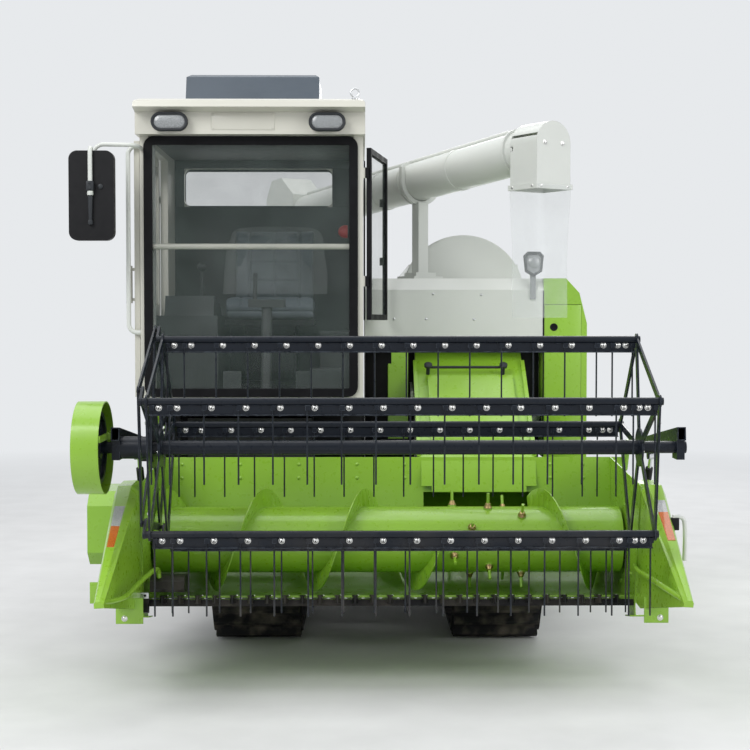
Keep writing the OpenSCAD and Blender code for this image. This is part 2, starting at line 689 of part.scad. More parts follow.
// Cradle that the folded tube rests in, on a post from the thresher's roof
cradle_u = 130;
cradle_at = [elbow_x + cradle_s * sin(boom_yaw), elbow_y - cradle_s * cos(boom_yaw)];
cradle_axis_z = elbow_z + cradle_s * tan(boom_rise);
module boom_cradle() color(off_white) place() translate([cradle_at[0], cradle_at[1], 0]) rotate(boom_yaw) {
    translate([0, 12, cradle_axis_z]) rotate([90, 0, 0]) linear_extrude(24) difference() {
        union() {
            circle(cradle_u);
            translate([-cradle_u, 0]) square([2 * cradle_u, 70]);
        }
        circle(boom_r + 2);
        translate([-boom_r - 2, 0]) square([2 * boom_r + 4, cradle_u + 10]);
    }
    block([-32, 32], [-30, 30], [thresher_top + 40, cradle_axis_z - cradle_u + 14]);
    block([-65, 65], [-55, 55], [thresher_top + 20, thresher_top + 40]);
    block([-95, 95], [-80, 80], [thresher_top, thresher_top + 20]);
}

// Cab
door_hole_y = [door_y[0] + 30, door_y[1] - 30];
module cab_shell() color(cab_white) place() {
    difference() {
        block([cab_x0, cab_x1], [cab_y0, cab_y1], [cab_z0, cab_z1]);
        block([cab_x0 + cab_wall, cab_x1 - cab_wall], [cab_y0 + cab_wall, cab_y1 - cab_wall],
            [cab_z0 + cab_wall, cab_z1 + 1]);
        // Windscreen, rear window, door way and side windows
        block([windscreen_x[0] + 22, windscreen_x[1] - 22], [cab_y0 - 1, cab_y0 + cab_wall + 1],
            [windscreen_z[0] + 30, windscreen_z[1] + 1]);
        along([cab_y1 - cab_wall - 1, cab_y1 + 1]) rounded([-1050, -236], [2240, 2450], 40);
        block([cab_x0 - 1, cab_x0 + cab_wall + 1], door_hole_y, [cab_z0 + 54, cab_z1 - 40]);
        block([cab_x1 - cab_wall - 1, cab_x1 + 1], [window_hinge_y + 40, window_hinge_y + window_len - 30],
            [window_z[0] + 20, window_z[1] - 20]);
        block([cab_x1 - cab_wall - 1, cab_x1 + 1], [window_hinge_y + window_len + 30, cab_y1 - 80],
            [window_z[0] + 20, window_z[1] - 20]);
    }
    // Brackets behind the door's and the side window's hinge knuckles
    for (z = door_hinge_z) block([door_hinge[0] + knuckle_r + fit, cab_x0 + 1],
        [door_hinge[1] - 8, door_hinge[1] + 8], [z - 40, z - 4]);
    for (z = window_hinge_z) block([cab_x1 - 1, window_hinge_x - knuckle_r + 1 - fit], [cab_y0, cab_y0 + 10],
        [z, z + 50]);
    // Grab bar behind the windscreen
    bar([windscreen_x[0] + 10, windscreen_x[1] - 10], [cab_y0 + 20, 1972], 14);
}

roof_x = [cab_x0 - 12, cab_x1 + 10];
roof_y = [890, cab_y1 + 20];
roof_top = 2664;
module cab_roof() color(cab_white) place() {
    difference() {
        across(roof_x) polygon([[roof_y[0], roof_top - 46], [roof_y[0] + 10, roof_top - 14],
            [roof_y[0] + 60, roof_top], [roof_y[1] - 90, roof_top], [roof_y[1], roof_top - 60],
            [roof_y[1], cab_z1], [roof_y[0] + 80, cab_z1], [roof_y[0] + 80, roof_top - 60]]);
        for (s = [0, 1]) translate([s == 0 ? roof_x[0] : roof_x[1], 0, roof_top]) rotate([0, 45, 0])
            block([-16, 16], [roof_y[0] - 1, roof_y[1] + 1], [-16, 16]);
    }
    // Lifting eye
    difference() {
        translate([-110, 1320, roof_top + 16]) rotate([90, 0, 0]) cylinder(h = 12, r = 22);
        translate([-110, 1321, roof_top + 18]) rotate([90, 0, 0]) cylinder(h = 14, r = 12);
    }
}

ac_x = [-957, -289];
ac_y = [1330, 1830];
module ac_unit() color("slategray") place() difference() {
    across(ac_x) polygon([[ac_y[0], roof_top], [ac_y[0] + 60, 2840], [ac_y[0] + 110, 2858],
        [ac_y[1] - 60, 2858], [ac_y[1], 2800], [ac_y[1], roof_top]]);
    for (i = [0 : 5]) block([ac_x[0] + 60, ac_x[1] - 60], [ac_y[1] - 20, ac_y[1] + 1],
        [roof_top + 30 + i * 20, roof_top + 40 + i * 20]);
    for (x = ac_x) translate([x, 0, 2858]) rotate([0, 45, 0])
        block([-14, 14], [ac_y[0] - 1, ac_y[1] + 1], [-14, 14]);
}

module cab_glass() color(dark_glass) place() {
    along([cab_y0 - glass_t, cab_y0]) rounded(windscreen_x, [windscreen_z[0], windscreen_z[1] - 2], 50);
    along([cab_y1, cab_y1 + glass_t]) rounded([-1073, -213], [2224, 2463], 50);
    block([cab_x1, cab_x1 + glass_t], [window_hinge_y + window_len + 15, cab_y1 - 65], window_z);
}

module cab_door() color(cab_white) place() {
    difference() {
        block(door_plane, door_y, door_z);
        block([door_plane[0] - 1, door_plane[1] + 1], [door_y[0] + 60, door_y[1] - 60],
            [1700, door_z[1] - 60]);
        block([door_plane[0] + sheet, door_plane[1] + 1], [door_y[0] + 40, door_y[1] - 40],
            [door_z[0] + 40, 1640]);
    }
    // Hinge knuckles and handle
    for (z = door_hinge_z) {
        translate([door_hinge[0], door_hinge[1], z - 40]) cylinder(h = 36, r = knuckle_r);
        block([door_hinge[0] - 4, door_hinge[0] + 4], [door_y[1] - 2, door_hinge[1]], [z - 40, z - 4]);
    }
    block([door_plane[0] - 30, door_plane[0] - 16], [door_y[0] + 14, door_y[0] + 40], [1700, 1880]);
    for (z = [1710, 1856]) block([door_plane[0] - 20, door_plane[0] + 2], [door_y[0] + 18, door_y[0] + 36],
        [z, z + 14]);
}

module door_glass() color(dark_glass) place() block([door_plane[1] - 4 - glass_t, door_plane[1] - 4],
    [door_y[0] + 60, door_y[1] - 60], [1700, door_z[1] - 60]);

// Hinged window frame, standing open a little as it does in use
module window_frame() translate([window_hinge_x, window_hinge_y, 0]) rotate(-window_open) children();
window_x = [-4, -4 + window_t];
module side_window() color(black) place() window_frame() {
    difference() {
        block(window_x, [14, window_len], window_z);
        block([window_x[0] - 1, window_x[1] + 1], [14 + frame_w, window_len - frame_w],
            [window_z[0] + frame_w, window_z[1] - frame_w]);
    }
    for (z = window_hinge_z) {
        translate([0, 0, z]) cylinder(h = 50, r = knuckle_r - 1);
        block([-4, 4], [0, 16], [z, z + 50]);
    }
    for (z = [1900, 2200]) block([window_x[0] - 16, window_x[0] + 2], [window_len - 24, window_len - 6],
        [z, z + 40]);
}

module side_window_glass() color(dark_glass) place() window_frame()
    block([window_x[0] + 8, window_x[0] + 8 + glass_t], [14 + frame_w, window_len - frame_w],
        [window_z[0] + frame_w, window_z[1] - frame_w]);

seat_x = -547;
floor_z = cab_z0 + cab_wall;
module seat_base() color(black) place() {
    block([seat_x - 180, seat_x + 180], [1500, 1880], [floor_z, floor_z + 60]);
    block([seat_x - 130, seat_x + 130], [1540, 1840], [floor_z + 60, 1590]);
    block([seat_x - 230, seat_x + 230], [1470, 1930], [1590, 1620]);
    across([seat_x - 190, seat_x + 190]) polygon([[1905, 1620], [1930, 1620], [2010, 2060], [1985, 2060]]);
}

module seat_cushions() color("black") place() {
    across([seat_x - 240, seat_x + 240]) polygon([[1440, 1620 + fit], [1420, 1700], [1470, 1740],
        [1860, 1720], [1870, 1620 + fit], [1600, 1620 + fit]]);
    across([seat_x - 225, seat_x + 225]) polygon([[1872, 1740], [1880, 1700], [1919.2, 1700], [1984.7, 2060],
        [1990, 2115], [1930, 2117], [1905, 2080]]);
}

// Consoles beside the seat, steering column, dash box and pedals
module cab_controls() color("dimgray") place() {
    block([cab_x0 + cab_wall, seat_x - 250], [1300, 1980], [floor_z, 1640]);
    across([cab_x0 + cab_wall + 40, seat_x - 270])
        polygon([[1300, 1640], [1700, 1640], [1700, 1680], [1340, 1740]]);
    block([seat_x + 260, cab_x1 - cab_wall], [1420, 1980], [floor_z, 1560]);
    block([-330, -180], [cab_y0 + 70, 1260], [floor_z, 1380]);
    block([seat_x - 45, seat_x + 45], [1130, 1220], [floor_z, floor_z + 24]);
    rod([seat_x, 1171, floor_z + 8], [seat_x, 1250, 1700], 26);
    rod([seat_x - 60, 1252, 1690], [seat_x - 60, 1290, 1850], 10);
    block([seat_x - 90, seat_x + 90], [1210, 1300], [1680, 1720]);
    for (x = [-760, -400]) block([x, x + 90], [1180, 1200], [floor_z, floor_z + 120]);
    rod([-890, 1480, 1640], [-890, 1450, 1880], 9);
    translate([-890, 1449, 1890]) sphere(24);
}

mirror_x = [-1440, -1229];
mirror_z = [1988, 2405];
mirror_y = 866;
mirror_arm_r = 10;
mirror_arm_y = mirror_y + mirror_arm_r + fit;
// Grab rail beside the door, and the bent arm of the mirror
module cab_tubes() color("white") place() {
    bent_rod([[cab_x0, 1052, 2452], [cab_x0 - 58, 1052, 2452], [cab_x0 - 58, 1052, 1558],
        [cab_x0, 1052, 1558]], 11, 40);
    bent_rod([[cab_x0 + 7, cab_y0, 2440], [cab_x0 + 7, 905, 2440], [-1335, mirror_arm_y, 2440],
        [-1335, mirror_arm_y, 2040]], mirror_arm_r, 50);
}
module cab_mirror() color(black) place() {
    difference() {
        along([mirror_y - 44, mirror_y]) rounded(mirror_x, mirror_z, 40);
        along([mirror_y - 2, mirror_y + 2]) rounded([mirror_x[0] + 12, mirror_x[1] - 12],
            [mirror_z[0] + 12, mirror_z[1] - 12], 32);
    }
    block([-1350, -1320], [mirror_y - 4, mirror_y], [2100, 2300]);
}

// Ladder to the cab door
module steps() color(slate) place() {
    for (y = [1090, 1300]) block([cab_x0 + 20, cab_x0 + 32], [y, y + 40], [470, cab_z0 - 46]);
    for (z = [470, 700, 930]) block([cab_x0 - 20, outer_x - 2], [1096, 1334], [z, z + 26]);
    block([cab_x0 + 32, outer_x], [1300, 1340], [deck_z - 40, deck_z - 10]);
}

lamp_y = roof_y[0] + 80;
module oval(w, h) {
    for (s = [-1, 1]) translate([s * (w - h) / 2, 0]) circle(h / 2);
    square([w - h, h], center = true);
}
module work_lamps() color("whitesmoke") place() {
    for (x = [-985, -240]) along([lamp_y - 40, lamp_y]) translate([x, 2554]) oval(160, 75);
    // Shield-shaped lamp on the thresher's front edge, on its bracket
    along([thresher_front - 40, thresher_front + 20]) translate([815, 1908])
        polygon([[-48, 40], [-30, 60], [30, 60], [48, 40], [40, -36], [0, -60], [-40, -36]]);
    block([800, 830], [thresher_front - 8, thresher_front], [thresher_top - 110, 1856]);
}

// Pivot of the reel arms, in the header's frame
arm_pin = turn([reel_pivot_y - auger_y, reel_pivot_z - auger_z], header_tilt);

// Header, in its own level frame round the auger axis
module header_frame() translate([0, auger_y, auger_z]) rotate([-header_tilt, 0, 0]) children();

module trough_profile() {
    translate([lip_y, -trough_r - sheet]) square([-lip_y, sheet]);
    difference() {
        circle(trough_r + sheet, $fn = 96);
        circle(trough_r, $fn = 96);
        translate([-400, -400]) square([400, 800]);
        translate([-1, 0]) square([400, 400]);
    }
    translate([trough_r, 0]) square([sheet, back_h]);
    translate([lip_y, beam_z0]) square([64, -trough_r - sheet - beam_z0]);
}
module wall_profile() {
    polygon([[lip_y - 20, beam_z0], [-485, 217], [trough_r, back_h], [trough_r + sheet, back_h],
        [trough_r + sheet, 0], [0, -trough_r - sheet], [0, beam_z0]]);
    circle(trough_r + sheet, $fn = 96);
}
module header_trough() color(green) place() header_frame() {
    difference() {
        across([wall_x0, wall_x1]) trough_profile();
        block([mouth_x0, mouth_x1], [60, 320], [mouth_z0, mouth_z1]);
    }
    // Top bar across the back, past both side walls
    difference() {
        block([arm_x0 + arm_w + 6, arm_x1 - 6], [trough_r + sheet, trough_r + sheet + top_bar],
            [back_h - top_bar, back_h]);
        block([arm_x0, arm_x1 + 50], [trough_r + 2 * sheet, trough_r + top_bar],
            [back_h - top_bar + sheet, back_h - sheet]);
    }
    // Flap over the mouth
    difference() {
        across([mouth_x0 - 10, mouth_x1 + 10]) polygon([[trough_r + 1, back_h - 12],
            [trough_r - 30, mouth_z1 - 2], [trough_r - 25, mouth_z1 - 4], [trough_r + 1, back_h - 40]]);
        for (x = [mouth_x0 - 11, mouth_x1 - 39]) block([x, x + 50], [180, trough_r], [200, mouth_z1 + 26]);
    }
    // Ribs that stiffen the back wall
    for (x = [-820, -420, -20, 960])
        block([x, x + 8], [trough_r + sheet - 1, trough_r + sheet + 40], [20, back_h - top_bar]);
    // Ears for the reel arms' pins
    for (x = [arm_x0 + arm_w + 6, arm_x1 - 18]) across([x, x + 12])
        strap([trough_r + 30, back_h - 30], arm_pin, 70);
    for (s = [[arm_x0 - 4, arm_x0 + arm_w + 8], [arm_x1 - 8, arm_x1 + arm_w + 4]])
        bar(s, arm_pin, reel_pin_r);
}

// Side walls of the header, each with a skid plate below
skid_z = [-346, -340];
module header_ends() color(green) place() header_frame() for (x = [wall_x0 - sheet, wall_x1]) {
    difference() {
        across([x, x + sheet]) wall_profile();
        bar([x - 1, x + sheet + 1], [0, 0], auger_shaft_r + fit);
    }
    block([x, x + sheet], [lip_y - 20, -160], [skid_z[0] + 5, -200]);
    block(x < 0 ? [wall_x0 - 120, wall_x0 + 20] : [wall_x1 - 20, wall_x1 + 120], [lip_y - 20, -160], skid_z);
}

// Pins of the reel lift cylinders, on the side walls
module reel_lift_pins() color(steel) place()
    for (s = [[arm_x0 + 2, wall_x0 - sheet], [wall_x1 + sheet, arm_x1 + arm_w - 2]])
        bar(s, reel_cyl_base, eye_pin_r);

// Divider: a folded nose from the side wall's front to its tip. Each section is a ring of corners,
// as distance outward from the wall and height.
divider_back_y = 400;
divider_sections = [
    // y, then outward distance and height of: inner bottom, outer bottom, outer top, ridge, ridge, inner top
    [-480, [[22, 522], [60, 520], [62, 536], [56, 546], [40, 546], [24, 536]]],
    [250, [[0, 372], [96, 400], [104, 868], [88, 906], [30, 908], [0, 880]]],
    [divider_back_y, [[0, 380], [96, 420], [104, 872], [88, 912], [30, 914], [0, 900]]]];
module divider(wall, side) {
    rings = [for (s = divider_sections) [for (p = s[1]) [wall + side * p[0], s[0], p[1]]]];
    n = len(rings[0]);
    points = [for (r = rings) for (p = r) p];
    quads = [for (k = [0 : len(rings) - 2], i = [0 : n - 1])
        let (j = (i + 1) % n) [k * n + i, (k + 1) * n + i, (k + 1) * n + j, k * n + j]];
    tris = concat([for (q = quads) [q[0], q[1], q[2]]], [for (q = quads) [q[0], q[2], q[3]]],
        [[for (i = [0 : n - 1]) i]], [[for (i = [0 : n - 1]) len(points) - 1 - i]]);
    polyhedron(points, side > 0 ? [for (t = tris) [for (i = [len(t) - 1 : -1 : 0]) t[i]]] : tris);
}
module dividers() color(green) place() {
    divider(wall_x0 - sheet, -1);
    divider(wall_x1 + sheet, 1);
    // Bent rods inside the noses
    bent_rod([[wall_x0 - sheet - 30, -420, 545], [-1000, -210, 566], [-921, 40, 580]], 10, 120);
    bent_rod([[wall_x1 + sheet + 30, -420, 545], [1104, -210, 566], [1085, 40, 580]], 10, 120);
}

guard_count = floor((wall_x1 - wall_x0 - 20) / guard_pitch);
guard_x_first = (wall_x0 + wall_x1) / 2 - (guard_count - 1) * guard_pitch / 2;
guard_tip_y = lip_y - guard_reach;
module knife_guards() color(black) place() header_frame() {
    difference() {
        union() {
            for (i = [0 : guard_count - 1]) translate([guard_x_first + i * guard_pitch, 0, 0])
                upward([beam_z0 + 12, guard_top]) polygon([[-3, guard_tip_y], [3, guard_tip_y],
                    [13, guard_tip_y + 34], [13, lip_y], [-13, lip_y], [-13, guard_tip_y + 34]]);
            block([wall_x0 + 4, wall_x1 - 4], [lip_y - 22, lip_y], [beam_z0, guard_top - 20]);
        }
        block([wall_x0 - 10, wall_x1 + 10], [guard_tip_y + 20, lip_y + 1],
            [knife_slot_z - fit, knife_slot_z + knife_t + 5]);
    }
}

knife_x = [wall_x0 + 6, wall_x1 - 6 - guard_pitch];
knife_teeth = floor((knife_x[1] - knife_x[0]) / guard_pitch);
module knife() color(steel) place() header_frame() upward([knife_slot_z, knife_slot_z + knife_t])
    polygon(concat([[knife_x[1], lip_y - 4], [knife_x[0], lip_y - 4]],
        [for (i = [0 : knife_teeth - 1], k = [[0, -20], [0.42, -62], [0.58, -62], [1, -20]])
            if (k[0] < 1 || i == knife_teeth - 1) [knife_x[0] + (i + k[0]) * guard_pitch, lip_y + k[1]]],
        [[knife_x[1], lip_y - 20]]));

// Feeder house: a sloping box whose front follows the trough
function feeder_line(y, drop) =
    feeder_top_z + (y - feeder_top_y) * tan(feeder_slope) - drop / cos(feeder_slope);
module feeder_box(x, d) {
    end_y = feeder_end_y + (d > 0 ? 1 : 0);
    across(x) polygon([[900, feeder_line(900, d)], [end_y, feeder_line(feeder_end_y, d)],
        [end_y, feeder_line(feeder_end_y, feeder_h - d)], [850, feeder_line(850, feeder_h - d)]]);
}
feeder_xs = [feeder_x - feeder_w / 2, feeder_x + feeder_w / 2];
module feeder_house() color(green) place() difference() {
    union() {
        difference() {
            feeder_box(feeder_xs, 0);
            feeder_box([feeder_xs[0] + sheet, feeder_xs[1] - sheet], sheet);
        }
        // Flanges down both upper edges, and a raised cover panel between
        for (x = [feeder_xs[0] - 12, feeder_xs[1] - 8]) across([x, x + 20]) polygon([
            [1100, feeder_line(1100, 0) - 2], [1650, feeder_line(1650, 0) - 2],
            [1650, feeder_line(1650, 0) + 18], [1100, feeder_line(1100, 0) + 18]]);
        across([feeder_xs[0] + 60, feeder_xs[1] - 60]) polygon([
            [1150, feeder_line(1150, 2)], [1560, feeder_line(1560, 2)],
            [1540, feeder_line(1540, -24)], [1170, feeder_line(1170, -24)]]);
        // Trunnions of the header's lift, and the ear for its cylinder
        for (x = [[feeder_xs[0] - 24, feeder_xs[0] + 1], [feeder_xs[1] - 1, feeder_xs[1] + 24]])
            bar(x, [lift_y, lift_z], 20);
        for (s = [-1, 1]) across([header_cyl_x + s * 24 - 6, header_cyl_x + s * 24 + 6])
            strap([header_cyl_eye[0] + 20, feeder_line(header_cyl_eye[0] + 20, feeder_h) + 10],
                header_cyl_eye, 50);
        bar([header_cyl_x - 30, header_cyl_x + 30], header_cyl_eye, eye_pin_r);
    }
    header_frame() across([feeder_xs[0] - 40, feeder_xs[1] + 40]) {
        circle(trough_r + sheet + fit, $fn = 96);
        translate([-300, 0]) square([300 + trough_r + sheet + fit, 500]);
        translate([-300, back_h - top_bar - fit]) square([300 + trough_r + sheet + top_bar + fit, 200]);
    }
}

module header_drive_cover() color(green) place() difference() {
    union() {
        across([-1300, -1160]) chamfered([480, 900], [520, 850], 60);
        block([-1161, wall_x0 - sheet], [590, 800], [545, 670]);
    }
    bar([wall_x0 - sheet - 13, wall_x0], [auger_y, auger_z], auger_shaft_r + 5);
}

// Helical flight as a ring of four corners at each step: inner and outer, on both faces
flight_t = 5;
flight_steps = 24;
module flight(x0, x1, hand, start) {
    n = ceil(abs(x1 - x0) / flight_pitch * flight_steps);
    points = [for (i = [0 : n])
        let (x = x0 + (x1 - x0) * i / n, a = start + hand * 360 * (x - x0) / flight_pitch)
        for (k = [[auger_tube_r - 3, 0], [flight_r, 0], [flight_r, flight_t], [auger_tube_r - 3, flight_t]])
            [x + k[1], k[0] * cos(a), k[0] * sin(a)]];
    sides = [for (i = [0 : n - 1], k = [0 : 3]) let (j = (k + 1) % 4, b = 4 * i, c = 4 * i + 4)
        [b + k, b + j, c + j, c + k]];
    faces = concat([[3, 2, 1, 0]], [[4 * n, 4 * n + 1, 4 * n + 2, 4 * n + 3]],
        [for (s = sides) [s[0], s[1], s[2]]], [for (s = sides) [s[0], s[2], s[3]]]);
    polyhedron(points, hand > 0 ? faces : [for (f = faces) [for (i = [len(f) - 1 : -1 : 0]) f[i]]]);
}

auger_x = [wall_x0 + 14, wall_x1 - 14];
left_flight_end = 280;
right_flight_start = 700;
finger_r = 7;
finger_xs = [340, 420, 500, 580, 650];
module header_auger() color(green) place() translate([0, auger_y, auger_z]) rotate([-header_tilt, 0, 0]) {
    bar(auger_x, [0, 0], auger_tube_r);
    bar([wall_x0 - sheet - 8, wall_x1 + sheet + 8], [0, 0], auger_shaft_r);
    flight(auger_x[0] + 4, left_flight_end, -1, 120);
    flight(right_flight_start, auger_x[1] - 4 - flight_t, 1, 60);
    for (i = [0 : len(finger_xs) - 1], k = [0 : 2]) translate([finger_xs[i], 0, 0])
        rotate([k * 120 + i * 72, 0, 0]) {
            translate([0, 0, auger_tube_r - 10]) cylinder(h = flight_r - auger_tube_r, r = finger_r);
            translate([0, 0, auger_tube_r - 10]) cylinder(h = 16, r = 20);
        }
}

// Cylinders: barrel from its base eye with a gland at its mouth, rod from its eye
function p_at(x, p) = [x, p[0], p[1]];
module cyl_barrel(x, p, q, len, r, pin, rod) {
    u = unit(q - p);
    difference() {
        union() {
            rod(p_at(x, p), p_at(x, p + len * u), r);
            bar([x - 12, x + 12], p, pin + 13);
        }
        bar([x - r - 1, x + r + 1], p, pin + fit);
        rod(p_at(x, p + 60 * u), p_at(x, p + (len - 16) * u), r - 5);
        rod(p_at(x, p + 60 * u), p_at(x, p + (len + 1) * u), rod + fit);
    }
}
module cyl_rod(x, p, q, len, r, hole, eye) difference() {
    union() {
        rod(p_at(x, q - len * unit(q - p)), p_at(x, q - (hole + 2) * unit(q - p)), r);
        bar([x - 10, x + 10], q, eye);
    }
    bar([x - 11, x + 11], q, hole);
}

header_cyl_len = 300;
header_rod_len = 280;
module header_barrel() color(black) place() cyl_barrel(header_cyl_x, header_cyl_base, header_cyl_eye,
    header_cyl_len, 30, eye_pin_r + 3, 16);
module header_rod() color(steel) place() cyl_rod(header_cyl_x, header_cyl_base, header_cyl_eye,
    header_rod_len, 16, eye_pin_r + header_eye_play, 28);

// Reel arms: square tubes open at the front, with a bearing below each
reel_arm_mid = [arm_x0 + arm_w / 2, arm_x1 + arm_w / 2];
module arm_tube(x) difference() {
    translate([x, reel_pivot_y, reel_pivot_z]) rotate([-arm_slope, 0, 0]) difference() {
        block([0, arm_w], [-arm_run, 40], [-arm_h / 2, arm_h / 2]);
        block([4, arm_w - 4], [-arm_run - 1, -arm_run + 300], [-arm_h / 2 + 4, arm_h / 2 - 4]);
    }
    bar([x - 1, x + arm_w + 1], [reel_pivot_y, reel_pivot_z], reel_pin_r + fit);
}
module reel_arms() color(slate) place() {
    for (x = [arm_x0, arm_x1]) {
        difference() {
            union() {
                arm_tube(x);
                block([x + 1.5, x + arm_w - 1.5], [-45, 45], [reel_z - 48, reel_z + 32]);
            }
            bar([x - 1, x + arm_w + 1], [0, reel_z], reel_shaft_r + fit);
        }
        for (s = [0, arm_w - 6]) across([x + s, x + s + 6]) strap(reel_cyl_eye, reel_cyl_eye + [0, 40], 38);
        bar([x, x + arm_w], reel_cyl_eye, eye_pin_r);
    }
    // Eccentric bearing of the cam star
    difference() {
        union() {
            bar([arm_x0 + arm_w - 12, cam_x - 6], [0, reel_z], 46);
            bar([cam_x - 7, cam_x + star_t + 4], [cam_dy, reel_z + cam_dz], cam_hub_r);
        }
        bar([arm_x0, cam_x + 30], [0, reel_z], reel_shaft_r + 5);
    }
}

reel_barrel_len = 230;
reel_rod_len = 230;
module reel_barrels() color(black) place() for (x = reel_arm_mid)
    cyl_barrel(x, reel_cyl_base, reel_cyl_eye, reel_barrel_len, cyl_r, eye_pin_r, rod_r);
module reel_rods() color(steel) place() for (x = reel_arm_mid)
    cyl_rod(x, reel_cyl_base, reel_cyl_eye, reel_rod_len, rod_r, eye_pin_r + reel_eye_play, eye_pin_r + 10);

module reel_guard() color(green) place() {
    difference() {
        bar([guard_x0, guard_x1], [0, reel_z], guard_r);
        bar([guard_x0 + sheet, guard_x1 + 1], [0, reel_z], guard_r - sheet);
    }
    // Flat bar across its mouth, on blocks from the arm
    block([guard_x1 - 1, guard_x1 + 6], [-guard_r + 12, guard_r - 6], [reel_z + 34, reel_z + 60]);
    for (y = [0, 130]) block([guard_x1 + 5, arm_x0], [y, y + 40], [reel_z + 34, reel_z + 58]);
}

function bat_angle(i) = first_bat - i * 360 / bat_count;
function bat_at(i) = reel_r * [-cos(bat_angle(i)), sin(bat_angle(i))];

// Star of arms and straps in one plane, round a centre
module star(x, centre, hub_r, boss_r, hole_r) difference() {
    across([x, x + star_t]) translate(centre) {
        circle(hub_r);
        for (i = [0 : bat_count - 1]) {
            strap([0, 0], bat_at(i), star_w - 8);
            strap(bat_at(i), bat_at((i + 1) % bat_count), star_w - 8);
            translate(bat_at(i)) circle(boss_r);
        }
    }
    for (i = [0 : bat_count - 1]) bar([x - 1, x + star_t + 1], centre + bat_at(i), hole_r);
}

module reel_frame() color(slate) place() {
    for (x = [star_x0, star_x1]) star(x, [0, reel_z], 80, star_w / 2 + 6, bat_tube_r + fit);
    bar([star_x0, star_x1 + star_t], [0, reel_z], reel_tube_r);
}

// Shaft ends outside the stars, one with the drive pulley
module reel_pulley() color(slate) place() {
    bar([guard_x0 + 20, star_x0], [0, reel_z], reel_shaft_r);
    bar([star_x1 + star_t, arm_x1 + arm_w + 12], [0, reel_z], reel_shaft_r);
    difference() {
        bar(pulley_x, [0, reel_z], pulley_r);
        for (x = [pulley_x[0] - 1, pulley_x[1] - 15]) difference() {
            bar([x, x + 16], [0, reel_z], pulley_r - 18);
            bar([x - 1, x + 17], [0, reel_z], 45);
        }
    }
}

module reel_cam() color(slate) place() difference() {
    star(cam_x, [cam_dy, reel_z + cam_dz], cam_hub_r + 26, star_w / 2 - 2, crank_pin_r + fit);
    bar([cam_x - 1, cam_x + star_t + 1], [cam_dy, reel_z + cam_dz], cam_hub_r + fit);
}

tine_xs = concat([bat_x0 + 8], [for (k = [0 : tine_count - 1]) tine_x0 + k * tine_pitch],
    [bat_x1 - 92, bat_x1 - 8]);
module bat(i) color(slate) place() translate([0, bat_at(i)[0], reel_z + bat_at(i)[1]]) {
    bar([crank_x, star_x1 + star_t + 10], [0, 0], bat_tube_r);
    // Plate with a folded lower lip
    across([bat_x0, bat_x1]) polygon([[-2, 0], [-2, -bat_plate_h + 4], [-16, -bat_plate_h + 4],
        [-16, -bat_plate_h], [2, -bat_plate_h], [2, 0]]);
    for (x = tine_xs) {
        translate([x, -5, -tine_reach]) cylinder(h = tine_reach - 14, r = tine_r);
        block([x - 7, x + 12], [-11, -1], [-34, -14]);
    }
    // Crank at the cam side
    across([crank_x, crank_x + crank_t]) strap([0, 0], [cam_dy, cam_dz], 34);
    bar([cam_x - 2, crank_x + 1], [cam_dy, cam_dz], crank_pin_r);
}
module reel_bat_1() bat(0);
module reel_bat_2() bat(1);
module reel_bat_3() bat(2);
module reel_bat_4() bat(3);
module reel_bat_5() bat(4);

chassis_frame();
track_left();
track_right();
track_frames();
road_wheels();
drive_sprockets();
gearbox();
engine();
radiator_door();
thresher_body();
left_side_cover();
drum_hood();
straw_hood();
grain_tank();
unload_column();
boom_cradle();
boom_barrel();
boom_rod();
unload_tube();
unload_spout();
unload_sleeve();
cab_shell();
cab_roof();
ac_unit();
cab_glass();
cab_door();
door_glass();
side_window();
side_window_glass();
seat_base();
seat_cushions();
cab_controls();
cab_tubes();
cab_mirror();
steps();
work_lamps();
header_trough();
header_ends();
reel_lift_pins();
dividers();
knife_guards();
knife();
feeder_house();
header_drive_cover();
header_auger();
header_barrel();
header_rod();
reel_arms();
reel_barrels();
reel_rods();
reel_guard();
reel_pulley();
reel_frame();
reel_cam();
reel_bat_1();
reel_bat_2();
reel_bat_3();
reel_bat_4();
reel_bat_5();
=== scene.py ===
"""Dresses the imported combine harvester: camera, light, materials, soft parts, bolts and trim."""
import json
import math

import bmesh
import bpy
from mathutils import Matrix, Vector, noise


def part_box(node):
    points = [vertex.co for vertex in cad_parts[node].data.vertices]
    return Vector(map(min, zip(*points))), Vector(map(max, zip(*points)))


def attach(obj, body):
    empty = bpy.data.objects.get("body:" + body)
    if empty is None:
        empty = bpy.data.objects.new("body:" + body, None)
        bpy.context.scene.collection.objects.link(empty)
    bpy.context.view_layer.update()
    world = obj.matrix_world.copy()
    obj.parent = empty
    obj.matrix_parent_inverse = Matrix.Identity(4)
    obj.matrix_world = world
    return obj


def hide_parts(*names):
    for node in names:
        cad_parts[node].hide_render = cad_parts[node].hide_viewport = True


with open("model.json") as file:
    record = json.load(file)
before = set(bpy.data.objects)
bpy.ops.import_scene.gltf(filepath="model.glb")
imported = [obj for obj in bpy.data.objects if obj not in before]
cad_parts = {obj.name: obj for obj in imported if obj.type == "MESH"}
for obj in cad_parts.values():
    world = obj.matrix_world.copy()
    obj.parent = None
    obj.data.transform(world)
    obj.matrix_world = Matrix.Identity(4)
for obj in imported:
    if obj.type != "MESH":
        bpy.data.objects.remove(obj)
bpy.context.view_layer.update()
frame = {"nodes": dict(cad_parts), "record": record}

JOINTS = {j["name"]: j for j in frame["record"]["behaviour"]["joints"]}
# The reel axis in this frame; the machine's own sizes are counted from it, in metres
REEL = Vector(JOINTS["reel_spin"]["pos_m"])
# The middle between the tracks, which isn't the middle of the whole width
MID_X = 0.08


def at(x, y, z):
    """A point given across from the middle between the tracks, back from the reel axis, and up."""
    return Vector((x + MID_X, y + REEL.y, z))


